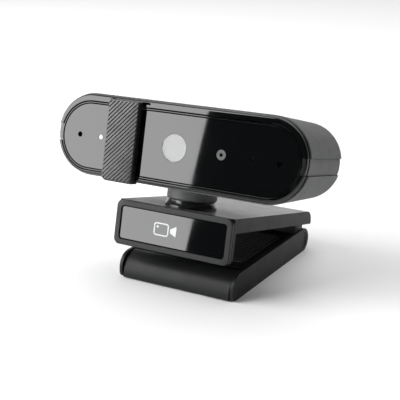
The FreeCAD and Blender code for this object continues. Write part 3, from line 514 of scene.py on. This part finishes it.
def makePanel():
    edge = panel["edge"]
    sheet = slab(panelWide, panelTall, [(panelLow.y, edge), (panelLow.y + edge, 0), (panelHigh.y, 0)],
                 None, panelRise)
    tools = []
    spots = {name: (centreOf(name), radius) for name, radius in sightHoles.items()}
    for side in ("left_microphone", "right_microphone"):
        spots[side] = (centreOf(side), panel["micHole"])
    for centre, radius in spots.values():
        points = [(centre.x + a, centre.z + b) for a, b in disc(radius, 64)]
        tools.append(prism(points, -over, panel["deep"], "y"))
    sheet = carved(sheet, tools)
    finished("frontPanel", sheet, headPlace, "camera_head", "gloss_black", ["front_panel"])
    for name, radius in sightHoles.items():
        low, high = span(headPlace, name)
        if name == "lens_window":
            low.y = panelLow.y + panel["windowSet"]
        middle = (low + high) / 2
        bore = panel["sensorBore"] if name == "light_sensor_ring" else 0.0
        solid = button(radius - panel["play"], low.y, high.y, panel["buttonEdge"], bore)
        solid = moved(solid, Matrix.Translation((middle.x, 0, middle.z)))
        look = sightLooks.get(name, slotOf[name])
        finished(name.title().replace("_", ""), solid, headPlace, "camera_head", slotOf[name], [name],
                 finish=look)


makePanel()
print("front panel made")


# Privacy slider.

slider = {"groovePitch": 1.16, "grooveAngle": 45.0, "grooveTop": 0.5, "grooveFloor": 0.3,
          "grooveDepth": 0.4, "margin": 0.55, "corner": 2.0, "round": 0.6, "grooves": 34,
          "smallCorner": 0.62, "fieldCorner": 0.3, "toolOver": 0.3, "toolReach": 40, "back": -0.3,
          "lap": 0.05, "tongueThick": 0.65, "tongueDeep": 1.1, "sideInset": 0.02, "hookLeft": 2.2,
          "hookRight": 0.5, "hookThick": 0.8}


def socket(tree, label, kind, value=None, out=False):
    made = tree.interface.new_socket(label, in_out="OUTPUT" if out else "INPUT", socket_type=kind)
    if value is not None:
        made.default_value = value
    return made.identifier


def grooveTree():
    tree = bpy.data.node_groups.new("slantGrooves", "GeometryNodeTree")
    names = {"body": socket(tree, "Geometry", "NodeSocketGeometry")}
    for label, value in (("Pitch", 1.0), ("Angle", 0.0), ("Count", 10), ("Depth", 0.0)):
        names[label] = socket(tree, label, "NodeSocketInt" if label == "Count" else "NodeSocketFloat",
                              value)
    for label in ("Groove", "Field"):
        names[label] = socket(tree, label, "NodeSocketObject")
    names["Finish"] = socket(tree, "Finish", "NodeSocketMaterial")
    socket(tree, "Geometry", "NodeSocketGeometry", out=True)
    nodes, links = tree.nodes, tree.links
    given = nodes.new("NodeGroupInput")
    result = nodes.new("NodeGroupOutput")
    row = nodes.new("GeometryNodeMeshLine")
    row.mode = "OFFSET"
    step = nodes.new("ShaderNodeCombineXYZ")
    links.new(given.outputs["Pitch"], step.inputs["X"])
    links.new(step.outputs["Vector"], row.inputs["Offset"])
    links.new(given.outputs["Count"], row.inputs["Count"])
    fromObject = nodes.new("GeometryNodeObjectInfo")
    links.new(given.outputs["Groove"], fromObject.inputs["Object"])
    copies = nodes.new("GeometryNodeInstanceOnPoints")
    links.new(row.outputs["Mesh"], copies.inputs["Points"])
    links.new(fromObject.outputs["Geometry"], copies.inputs["Instance"])
    solid = nodes.new("GeometryNodeRealizeInstances")
    links.new(copies.outputs["Instances"], solid.inputs["Geometry"])
    half = nodes.new("ShaderNodeMath")
    half.operation = "MULTIPLY"
    links.new(given.outputs["Count"], half.inputs[0])
    links.new(given.outputs["Pitch"], half.inputs[1])
    back = nodes.new("ShaderNodeMath")
    back.operation = "MULTIPLY"
    back.inputs[1].default_value = -0.5
    links.new(half.outputs["Value"], back.inputs[0])
    centred = nodes.new("ShaderNodeCombineXYZ")
    links.new(back.outputs["Value"], centred.inputs["X"])
    slide = nodes.new("GeometryNodeTransform")
    links.new(solid.outputs["Geometry"], slide.inputs["Geometry"])
    links.new(centred.outputs["Vector"], slide.inputs["Translation"])
    turning = nodes.new("ShaderNodeCombineXYZ")
    links.new(given.outputs["Angle"], turning.inputs["Y"])
    away = nodes.new("ShaderNodeCombineXYZ")
    links.new(given.outputs["Depth"], away.inputs["Y"])
    slant = nodes.new("GeometryNodeTransform")
    links.new(slide.outputs["Geometry"], slant.inputs["Geometry"])
    links.new(turning.outputs["Vector"], slant.inputs["Rotation"])
    links.new(away.outputs["Vector"], slant.inputs["Translation"])
    fieldInfo = nodes.new("GeometryNodeObjectInfo")
    links.new(given.outputs["Field"], fieldInfo.inputs["Object"])
    inside = nodes.new("GeometryNodeMeshBoolean")
    inside.operation = "INTERSECT"
    links.new(slant.outputs["Geometry"], inside.inputs["Mesh 2"])
    links.new(fieldInfo.outputs["Geometry"], inside.inputs["Mesh 2"])
    cutAway = nodes.new("GeometryNodeMeshBoolean")
    cutAway.operation = "DIFFERENCE"
    links.new(given.outputs["Geometry"], cutAway.inputs["Mesh 1"])
    links.new(inside.outputs["Mesh"], cutAway.inputs["Mesh 2"])
    plain = nodes.new("GeometryNodeRealizeInstances")
    links.new(cutAway.outputs["Mesh"], plain.inputs["Geometry"])
    coat = nodes.new("GeometryNodeSetMaterial")
    links.new(plain.outputs["Geometry"], coat.inputs["Geometry"])
    links.new(given.outputs["Finish"], coat.inputs["Material"])
    links.new(coat.outputs["Geometry"], result.inputs["Geometry"])
    return tree, names


def spareObject(name, solid):
    mesh = bpy.data.meshes.new(name)
    solid.to_mesh(mesh)
    item = bpy.data.objects.new(name, mesh)
    bpy.context.scene.collection.objects.link(item)
    return item


def settled(item, spares=()):
    # the evaluated shape of an object as a plain solid, with the object and its helpers taken away
    shape = bpy.data.meshes.new_from_object(item.evaluated_get(bpy.context.evaluated_depsgraph_get()))
    solid = bmesh.new()
    solid.from_mesh(shape)
    for spare in (item, *spares):
        bpy.data.objects.remove(spare)
    bmesh.ops.remove_doubles(solid, verts=solid.verts, dist=weld)
    bmesh.ops.dissolve_degenerate(solid, edges=solid.edges, dist=sliver)
    return solid


def makeSlider():
    low, high = span(headPlace, "privacy_slider")
    wide, tall = high.x - low.x, high.z - low.z
    back, small = slider["back"], slider["smallCorner"]
    middle = ((low.x + high.x) / 2, (low.z + high.z) / 2)
    sections = [*roundEdge(low.y, slider["round"], 5), (back, 0)]
    rings = []
    for depth, inset in sections:
        a, b = wide / 2 - inset, tall / 2 - inset
        sides = [(a, b, small - inset), (-a, b, small - inset), (-a, -b, slider["corner"] - inset),
                 (a, -b, small - inset)]
        rings.append([(middle[0] + x, depth, middle[1] + z) for x, z in rounded(sides)])
    plate = loft(rings)
    half = slider["grooveTop"] / 2
    floor = slider["grooveFloor"] / 2
    deep = slider["grooveDepth"]
    past = slider["toolOver"]
    slope = (half - floor) / deep
    reach = slider["toolReach"]
    top = half + slope * past
    groove = prism([(-floor, deep), (floor, deep), (top, -past), (-top, -past)], -reach, reach, "z")
    edge = slider["margin"]
    corner = slider["fieldCorner"]
    sides = [(high.x - edge, high.z - edge, corner), (low.x + edge, high.z - edge, corner),
             (low.x + edge, low.z + edge, slider["corner"] - edge), (high.x - edge, low.z + edge, corner)]
    field = prism(rounded(sides), low.y - over, low.y + over, "y")
    fieldItem = spareObject("grooveField", moved(field, Matrix.Translation((-middle[0], 0, -middle[1]))))
    grooveItem = spareObject("grooveTool", groove)
    item = spareObject("sliderPlate", moved(plate, Matrix.Translation((-middle[0], 0, -middle[1]))))
    tree, names = grooveTree()
    step = item.modifiers.new("grooves", "NODES")
    step.node_group = tree
    settings = {"Pitch": slider["groovePitch"], "Angle": math.radians(slider["grooveAngle"]),
                "Count": slider["grooves"], "Depth": low.y, "Groove": grooveItem,
                "Field": fieldItem, "Finish": finishes["slider_black"]}
    for label, value in settings.items():
        step[names[label]] = value
    plate = moved(settled(item, (grooveItem, fieldItem)), Matrix.Translation((middle[0], 0, middle[1])))
    inset, lap = slider["sideInset"], slider["lap"]
    tongue = box((low.x + inset, back - lap, high.z - slider["tongueThick"]),
                 (high.x - inset, slider["tongueDeep"], high.z - inset))
    hook = box((low.x + slider["hookLeft"], back - lap, low.z + inset),
               (high.x - slider["hookRight"], high.y, low.z + slider["hookThick"]))
    whole = carved(plate, [tongue, hook], "UNION")
    finished("ribbedSlider", whole, headPlace, "privacy_slider", "satin_grey", ["privacy_slider"],
             finish="slider_black")


makeSlider()
print("privacy slider made")


# Neck.

neck = {"footRing": 1.1, "sag": 0.09, "topRadius": 8.9, "bore": 2.1, "step": 0.15, "ringRound": 0.2,
        "curveSteps": 14}


def makeNeck():
    high = span(standPlace, "swivel_base")[1]
    foot = high.x
    rise, tall = neck["footRing"], high.z
    curve = []
    steps, inset = neck["curveSteps"], neck["step"]
    for step in range(steps + 1):
        t = step / steps
        ends = foot - inset + (neck["topRadius"] - foot + inset) * t
        curve.append((ends - neck["sag"] * math.sin(math.pi * t), rise + (tall - rise) * t))
    profile = [(neck["bore"], 0), (foot, 0), (foot, rise - neck["ringRound"]), (foot - inset, rise),
               *curve[1:], (neck["bore"], tall)]
    finished("swivelBase", lathe(profile, 96), standPlace, "clip_bracket", "gloss_black", ["swivel_base"],
             0, "smooth_black")


makeNeck()
print("neck made")


# Cord gland and tripod thread.

gland = {"bore": 1.6, "tube": 2.5, "flange": 3.6, "flangeRound": 0.4, "play": 0.04}
thread = {"bore": 2.55, "outer": 4.0, "pitch": 1.27, "crest": 0.32}


def makeGland():
    low, high = span(headPlace, "cord_grommet")
    middle = (low + high) / 2
    edge = gland["flangeRound"]
    flangeFront = coverHigh.y + gland["play"]
    profile = [(gland["bore"], low.y), (gland["tube"] - edge, low.y), (gland["tube"], low.y + edge),
               (gland["tube"], flangeFront), (gland["flange"], flangeFront),
               (gland["flange"], high.y - edge), (gland["flange"] - edge, high.y),
               (gland["bore"] + edge / 2, high.y), (gland["bore"], high.y - edge / 2)]
    solid = moved(lathe([(r, -y) for r, y in profile], 56),
                  Matrix.Translation((middle.x, 0, middle.z)) @ toFront)
    finished("cordGland", solid, headPlace, "camera_head", "black_rubber", ["cord_grommet"])


def makeInsert():
    low, high = span(standPlace, "tripod_insert")
    middle = (low + high) / 2
    tall = high.z - low.z
    profile = [(thread["outer"], low.z), (thread["outer"], high.z)]
    steps = 2 * int(tall / thread["pitch"])
    for step in range(steps, -1, -1):
        deep = thread["crest"] if step % 2 else 0.0
        profile.append((thread["bore"] + deep, low.z + tall * step / steps))
    solid = moved(lathe(profile, 56), Matrix.Translation((middle.x, middle.y, 0)))
    finished("tripodInsert", solid, standPlace, "clip_bracket", "brass", ["tripod_insert"])


makeGland()
makeInsert()
print("gland and insert made")


# Front frame, name plate and its camera sign.

bezel = {"wall": 2.1, "corner": 2.4, "innerCorner": 1.2, "edge": 0.3, "platePlay": 0.15,
         "plateTurn": -0.26, "innerEdge": 0.15, "plateEdge": 0.2}


def makeBezel():
    low, high = span(standPlace, "front_frame")
    wide, tall, rise = high.x - low.x, high.z - low.z, (high.z + low.z) / 2
    wall, edge = bezel["wall"], bezel["innerEdge"]
    outer = (wide, tall, bezel["corner"], rise)
    inner = (wide - 2 * wall, tall - 2 * wall, bezel["innerCorner"], rise)
    solid = hoop(outer, inner, [*roundEdge(low.y, bezel["edge"], 4), (high.y, 0)],
                 [(low.y, -edge), (low.y + edge, 0), (high.y, 0)])
    finished("frontBezel", solid, standPlace, "clip_bracket", "satin_grey", ["front_frame"])
    plateLow, plateHigh = span(standPlace, "name_plate")
    play, edge = bezel["platePlay"], bezel["plateEdge"]
    solid = slab(inner[0] - 2 * play, inner[1] - 2 * play,
                 [(plateLow.y, edge), (plateLow.y + edge, 0), (plateHigh.y, 0)],
                 bezel["innerCorner"] - play, rise)
    solid = moved(solid, Matrix.Rotation(math.radians(bezel["plateTurn"]), 4, "Z"))
    finished("namePlate", solid, standPlace, "clip_bracket", "gloss_black", ["name_plate"])
    makeSign(plateLow.y, rise)


sign = {"middle": -3.0, "wide": 6.4, "tall": 4.8, "corner": 1.1, "line": 0.5, "gap": 0.6, "cone": 2.6,
        "thick": 0.03, "sink": 0.01, "shift": 1.5, "coneNear": 0.7, "coneFar": 2.0,
        "coneRound": (0.2, 0.35), "dot": 0.45, "dotAt": (-1.6, 0.9)}


def makeSign(face, rise):
    # a plain camera sign: a box outline, a dot and a lens cone
    line = sign["line"]
    back = face + sign["sink"]
    front = face - sign["thick"]
    centre = sign["middle"] - sign["shift"]
    outer = (sign["wide"], sign["tall"], sign["corner"], 0.0)
    inner = (sign["wide"] - 2 * line, sign["tall"] - 2 * line, sign["corner"] - line, 0.0)
    body = moved(hoop(outer, inner, [(front, 0), (back, 0)], [(front, 0), (back, 0)]),
                 Matrix.Translation((centre, 0, rise)))
    right = centre + sign["wide"] / 2 + sign["gap"]
    near, far, (nearRound, farRound) = sign["coneNear"], sign["coneFar"], sign["coneRound"]
    end = right + sign["cone"]
    cone = [(right, rise + near, nearRound), (right, rise - near, nearRound), (end, rise - far, farRound),
            (end, rise + far, farRound)]
    lens = prism(rounded(cone), front, back, "y")
    dotX, dotZ = sign["dotAt"]
    points = [(centre + dotX + a, rise + dotZ + b) for a, b in disc(sign["dot"], 32)]
    dot = prism(points, front, back, "y")
    finished("cameraSign", joined(body, lens, dot), standPlace, "clip_bracket", "lamp_white")


makeBezel()
print("front frame made")


# Clip bracket.

clip = {"rearRound": 4.5, "lowRound": 0.6, "plateThick": 5.3, "lipCorner": 2.4, "lipThick": 1.6,
        "groove": 0.5, "core": 0.6, "knuckle": 4.3, "knuckleReach": 21.8, "neckHalf": 3.6, "lap": 0.5,
        "bore": 1.55, "recess": 4.5, "recessDeep": 2.6, "insert": 4.02, "insertDeep": 4.6, "edge": 0.25,
        "topFace": -0.05}


def makeClip():
    high = span(standPlace, "clip_bracket")[1]
    frameBack = span(standPlace, "front_frame")[1].y
    half = high.x
    front = frameBack + clip["groove"]
    thick = clip["plateThick"]
    side = [(front, 0, 0), (high.y, 0, clip["rearRound"]), (high.y, -thick, clip["lowRound"]),
            (front, -thick, 0)]
    plate = prism(rounded(side), -half, half)
    lipLow = span(standPlace, "front_frame")[0].z
    sides = [(half, 0, 0), (-half, 0, 0), (-half, lipLow, clip["lipCorner"]),
             (half, lipLow, clip["lipCorner"])]
    lip = prism(rounded(sides), front, front + clip["lipThick"], "y")
    inset = clip["core"]
    core = box((inset - half, frameBack, lipLow + inset),
               (half - inset, front + clip["lipThick"], -inset))
    pivot = standPlace.inverted() @ Vector(joints["bracket_hinge"]["pos_m"])
    reach, neckHalf = clip["knuckleReach"], clip["neckHalf"]
    barrel = prism([(pivot.y + a, pivot.z + b) for a, b in disc(clip["knuckle"], 48)], -reach, reach)
    web = box((-reach, pivot.y - neckHalf, pivot.z), (reach, pivot.y + neckHalf, clip["lap"] - thick))
    solid = carved(plate, [lip, core, barrel, web], "UNION")
    bore = prism([(pivot.y + a, pivot.z + b) for a, b in disc(clip["bore"], 32)], -half, half)
    recess = prism(disc(clip["recess"]), -thick - over, clip["recessDeep"] - thick, "z")
    insertAt = span(standPlace, "tripod_insert")
    insertY = (insertAt[0].y + insertAt[1].y) / 2
    hole = prism([(a, insertY + b) for a, b in disc(clip["insert"])], -thick - over,
                 clip["insertDeep"] - thick, "z")
    solid = carved(solid, [bore, recess, hole])
    made = finished("clipPlate", solid, standPlace, "clip_bracket", "satin_black", ["clip_bracket"],
                    clip["edge"])
    # the plate's top faces take the lighter copy, so the light on the top is painted into its colour
    made.data.materials.append(finishes["plate_top"])
    back = standPlace.inverted()
    for face in made.data.polygons:
        if (back @ face.center).z > clip["topFace"]:
            face.material_index = 1


makeClip()
print("clip bracket made")


# Rubber pads.

def ribTree():
    # a row of ribs on a flat pad, made from one rib
    tree = bpy.data.node_groups.new("padRibs", "GeometryNodeTree")
    names = {"body": socket(tree, "Geometry", "NodeSocketGeometry")}
    for label, kind, value in (("Count", "NodeSocketInt", 5), ("Step", "NodeSocketVector", (0, 1, 0)),
                               ("Rib", "NodeSocketVector", (1, 1, 1)),
                               ("Start", "NodeSocketVector", (0, 0, 0))):
        names[label] = socket(tree, label, kind, value)
    names["Finish"] = socket(tree, "Finish", "NodeSocketMaterial")
    socket(tree, "Geometry", "NodeSocketGeometry", out=True)
    nodes, links = tree.nodes, tree.links
    given, result = nodes.new("NodeGroupInput"), nodes.new("NodeGroupOutput")
    row = nodes.new("GeometryNodeMeshLine")
    row.mode = "OFFSET"
    rib = nodes.new("GeometryNodeMeshCube")
    copies = nodes.new("GeometryNodeInstanceOnPoints")
    both = nodes.new("GeometryNodeJoinGeometry")
    plain = nodes.new("GeometryNodeRealizeInstances")
    coat = nodes.new("GeometryNodeSetMaterial")
    links.new(given.outputs["Count"], row.inputs["Count"])
    links.new(given.outputs["Step"], row.inputs["Offset"])
    links.new(given.outputs["Start"], row.inputs["Start Location"])
    links.new(given.outputs["Rib"], rib.inputs["Size"])
    links.new(row.outputs["Mesh"], copies.inputs["Points"])
    links.new(rib.outputs["Mesh"], copies.inputs["Instance"])
    links.new(given.outputs["Geometry"], both.inputs["Geometry"])
    links.new(copies.outputs["Instances"], both.inputs["Geometry"])
    links.new(both.outputs["Geometry"], plain.inputs["Geometry"])
    links.new(plain.outputs["Geometry"], coat.inputs["Geometry"])
    links.new(given.outputs["Finish"], coat.inputs["Material"])
    links.new(coat.outputs["Geometry"], result.inputs["Geometry"])
    return tree, names


pad = {"pitch": 1.6, "rib": 0.9, "rise": 0.3, "corner": 1.0, "margin": 0.9}
ribs, ribNames = ribTree()


def ribbedPad(low, high, face):
    # low and high are the pad's corners; face is +1 when its ribs look up and -1 when they look down
    wide, long = high.x - low.x, high.y - low.y
    base = (low.z + pad["rise"], high.z) if face < 0 else (low.z, high.z - pad["rise"])
    middleX, middleY = (low.x + high.x) / 2, (low.y + high.y) / 2
    points = [(x + middleX, y + middleY) for x, y in outline(wide, long, pad["corner"])]
    item = spareObject("padBase", prism(points, *base, "z"))
    count = int((long - 2 * pad["margin"] - pad["rib"]) / pad["pitch"]) + 1
    first = (low.y + high.y) / 2 - (count - 1) * pad["pitch"] / 2
    height = low.z + pad["rise"] if face < 0 else high.z - pad["rise"]
    step = item.modifiers.new("ribs", "NODES")
    step.node_group = ribs
    settings = {"Count": count, "Step": (0, pad["pitch"], 0),
                "Start": ((low.x + high.x) / 2, first, height),
                "Rib": (wide - 2 * pad["margin"], pad["rib"], 2 * pad["rise"]),
                "Finish": finishes["black_rubber"]}
    for label, value in settings.items():
        step[ribNames[label]] = value
    return settled(item)


def makePads():
    for name, label, place, body, face in (("leg_pad", "legPad", groundPlace, "lower_leg", 1),
                                           ("foot_pad", "footPad", footPlace, "folding_foot", -1)):
        solid = ribbedPad(*span(place, name), face)
        finished(label, solid, place, body, "black_rubber", [name])


makePads()
print("pads made")


# Lower leg and hinges.

leg = {"arm": 1.3, "frontRound": 6.0, "footRound": 2.5, "rearRound": 4.75, "webDrop": 0.6,
       "webThick": 2.4, "webFront": 12.4, "webRear": 12.5, "bar": 3.2, "capSeat": 3.3, "capDeep": 0.8,
       "lap": 0.2, "edge": 0.25, "cap": 3.2, "capThick": 0.6, "capStep": 0.12, "capRim": 2.2,
       "capBowl": 2.1, "pinEdge": 0.2}


def makeLeg():
    low, high = span(groundPlace, "lower_leg")
    top, half = high.z, high.x
    side = rounded([(low.y, top, leg["frontRound"]), (high.y, top, leg["rearRound"]),
                    (high.y, 0, leg["rearRound"]), (low.y, 0, leg["footRound"])], 12)
    inner = half - leg["arm"]
    arms = [prism(side, -half, -inner), prism(side, inner, half)]
    reach = inner + leg["lap"]
    webTop = top - leg["webDrop"]
    web = box((-reach, low.y + leg["webFront"], webTop - leg["webThick"]),
              (reach, high.y - leg["webRear"], webTop))
    rear = high.y - leg["webRear"]
    bar = box((-reach, rear - leg["bar"], 0), (reach, rear, webTop - leg["webThick"] / 2))
    solid = carved(arms[0], [arms[1], web, bar], "UNION")
    pivot = Vector(joints["bracket_hinge"]["pos_m"]) / millimetre
    seats = []
    for start, finish in ((-half - over, leg["capDeep"] - half), (half - leg["capDeep"], half + over)):
        seats.append(prism([(pivot.y + a, pivot.z + b) for a, b in disc(leg["capSeat"])], start, finish))
    solid = carved(solid, seats)
    finished("legFrame", solid, groundPlace, "lower_leg", "satin_black", ["lower_leg"], leg["edge"])
    capHigh = span(groundPlace, "hinge_caps")[1]
    caps = []
    for way in (-1, 1):
        outer, radius, step = capHigh.x, leg["cap"], leg["capStep"]
        inside = outer - leg["capThick"]
        profile = [(0, inside), (radius, inside), (radius, outer - step), (radius - step, outer),
                   (leg["capRim"], outer), (leg["capBowl"], outer - step), (0, outer - step)]
        cap = moved(lathe(profile, 48),
                    Matrix.Translation(pivot) @ Matrix.Rotation(quarter * way, 4, "Y"))
        caps.append(cap)
    finished("hingeCaps", joined(*caps), groundPlace, "lower_leg", "satin_black", ["hinge_caps"])
    for name, label in (("rear_hinge_pin", "rearPin"), ("front_hinge_pin", "frontPin")):
        pinLow, pinHigh = span(groundPlace, name)
        radius, reach = (pinHigh.z - pinLow.z) / 2, pinHigh.x
        edge = leg["pinEdge"]
        profile = [(0, -reach), (radius - edge, -reach), (radius, edge - reach), (radius, reach - edge),
                   (radius - edge, reach), (0, reach)]
        at = Matrix.Translation((0, (pinLow.y + pinHigh.y) / 2, (pinLow.z + pinHigh.z) / 2))
        finished(label, moved(lathe(profile, 40), at @ toSide), groundPlace, "lower_leg", "steel", [name])


makeLeg()
print("lower leg made")


# Folding foot.

foot = {"nose": 8.6, "noseBack": 3.9, "noseLow": -4.4, "noseTop": 4.6, "flapTop": 0.8, "flapLow": -3.8,
        "end": 1.5, "sink": 0.5, "topRound": 0.4, "lowRound": 0.3, "bore": 1.3, "edge": 0.35,
        "arcSteps": 20}


def makeFoot():
    low, high = span(footPlace, "folding_foot")
    radius = foot["nose"]
    centreY, centreZ = low.y + radius, foot["noseLow"] + foot["sink"]
    first = math.atan2(foot["noseLow"] - centreZ, -math.sqrt(radius ** 2 - foot["sink"] ** 2))
    last = math.pi - math.asin((foot["noseTop"] - centreZ) / radius)
    steps, lowRound = foot["arcSteps"], foot["lowRound"]
    first = first % (2 * math.pi)
    arc = [first + (last - first) * k / steps for k in range(steps + 1)]
    nose = [(centreY + radius * math.cos(t), centreZ + radius * math.sin(t), 0) for t in arc]
    corners = [*nose, (foot["noseBack"], foot["noseTop"], foot["topRound"]),
               (foot["noseBack"], foot["flapTop"], foot["topRound"]),
               (high.y, foot["flapTop"], foot["end"]), (high.y, foot["flapLow"], foot["end"]),
               (foot["noseBack"], foot["flapLow"], lowRound),
               (foot["noseBack"], foot["noseLow"], lowRound)]
    solid = prism(rounded(corners), low.x, high.x)
    bore = prism(disc(foot["bore"], 32), low.x - over, high.x + over)
    solid = carved(solid, [bore])
    finished("foldingFoot", solid, footPlace, "folding_foot", "satin_black", ["folding_foot"],
             foot["edge"])


makeFoot()
print("folding foot made")


# Light, floor and camera.

studio = {"floor": 8.0, "key": (1.0, 1.1), "keyReach": 0.85, "keyEdge": 29.2, "keyRadiance": 7.7,
          "keyLow": 0.03, "top": (1.2, 1.2), "topHeight": 1.1, "topRadiance": 1.25, "wash": (3.0, 2.5),
          "washAt": (0.0, 1.6, 1.6), "washRadiance": 0.8, "topAt": (-0.1, 0.15), "topAim": (0, 0, 0.03),
          "keyAim": (0, -0.04, 0)}
shot = {"aim": (3.155, -19.394, 31.76), "reach": 351.94, "turn": 30.199, "rise": 17.76, "lens": 85.2955,
        "near": 0.01, "far": 30}


def softLight(name, size, radiance, location, towards):
    data = bpy.data.lights.new(name, "AREA")
    data.shape = "RECTANGLE"
    data.size, data.size_y = size
    data.energy = radiance * math.pi * size[0] * size[1]
    lamp = bpy.data.objects.new(name, data)
    lamp.location = location
    lamp.rotation_euler = (Vector(towards) - Vector(location)).to_track_quat("-Z", "Y").to_euler()
    lamp.visible_camera = False
    bpy.context.scene.collection.objects.link(lamp)
    return lamp


def makeStudio():
    floorSide = studio["floor"] / 2
    solid = bmesh.new()
    solid.faces.new([solid.verts.new(p) for p in ((-floorSide, -floorSide, 0), (floorSide, -floorSide, 0),
                                                  (floorSide, floorSide, 0), (-floorSide, floorSide, 0))])
    mesh = bpy.data.meshes.new("paleFloor")
    solid.to_mesh(mesh)
    floor = bpy.data.objects.new("paleFloor", mesh)
    bpy.context.scene.collection.objects.link(floor)
    mesh.materials.append(plastic("floorPaper", (0.94, 0.94, 0.94), 0.9, 1.5, 0.0, 0.01, 0.02, 0.1, 40.0))
    wide, tall = studio["key"]
    reach = studio["keyReach"]
    edge = math.radians(studio["keyEdge"])
    centre = Vector(studio["keyAim"])
    forward = Vector((-math.sin(edge), -math.cos(edge), 0))
    where = centre + forward * reach + Vector((-math.cos(edge), math.sin(edge), 0)) * wide / 2
    where.z = studio["keyLow"] + tall / 2
    towards = where - forward
    softLight("keySoftbox", (wide, tall), studio["keyRadiance"], where, towards)
    softLight("backWash", studio["wash"], studio["washRadiance"], studio["washAt"], (0, 0, 0))
    softLight("topSoftbox", studio["top"], studio["topRadiance"], (*studio["topAt"], studio["topHeight"]),
              studio["topAim"])


# The light that the air casts is nearly dark in front and brightens towards the back; the camera
# itself sees it white.
air = {"From Min": -0.25, "From Max": 0.35, "To Min": 0.015, "To Max": 0.55}


def makeWorld():
    world = bpy.data.worlds.new("studioAir")
    bpy.context.scene.world = world
    world.use_nodes = True
    nodes, links = world.node_tree.nodes, world.node_tree.links
    nodes.clear()
    out = nodes.new("ShaderNodeOutputWorld")
    direction = nodes.new("ShaderNodeTexCoord")
    split = nodes.new("ShaderNodeSeparateXYZ")
    links.new(direction.outputs["Generated"], split.inputs["Vector"])
    back = nodes.new("ShaderNodeMapRange")
    back.interpolation_type = "SMOOTHSTEP"
    for label, value in air.items():
        back.inputs[label].default_value = value
    links.new(split.outputs["Y"], back.inputs["Value"])
    mirror = nodes.new("ShaderNodeBackground")
    links.new(back.outputs["Result"], mirror.inputs["Strength"])
    seen = nodes.new("ShaderNodeBackground")
    seen.inputs["Strength"].default_value = 1.0
    path = nodes.new("ShaderNodeLightPath")
    blend = nodes.new("ShaderNodeMixShader")
    links.new(path.outputs["Is Camera Ray"], blend.inputs["Fac"])
    links.new(mirror.outputs["Background"], blend.inputs[1])
    links.new(seen.outputs["Background"], blend.inputs[2])
    links.new(blend.outputs["Shader"], out.inputs["Surface"])


def makeCamera():
    data = bpy.data.cameras.new("shot")
    data.lens = shot["lens"]
    data.clip_start, data.clip_end = shot["near"], shot["far"]
    camera = bpy.data.objects.new("shot", data)
    turn, rise = math.radians(shot["turn"]), math.radians(shot["rise"])
    towards = Vector((math.sin(turn) * math.cos(rise), -math.cos(turn) * math.cos(rise), math.sin(rise)))
    aim = Vector(shot["aim"]) * millimetre
    camera.location = aim + towards * shot["reach"] * millimetre
    camera.rotation_euler = towards.to_track_quat("Z", "Y").to_euler()
    bpy.context.scene.collection.objects.link(camera)
    bpy.context.scene.camera = camera
    bpy.context.scene.view_settings.view_transform = "Standard"


makeStudio()
makeWorld()
makeCamera()
print("studio made")
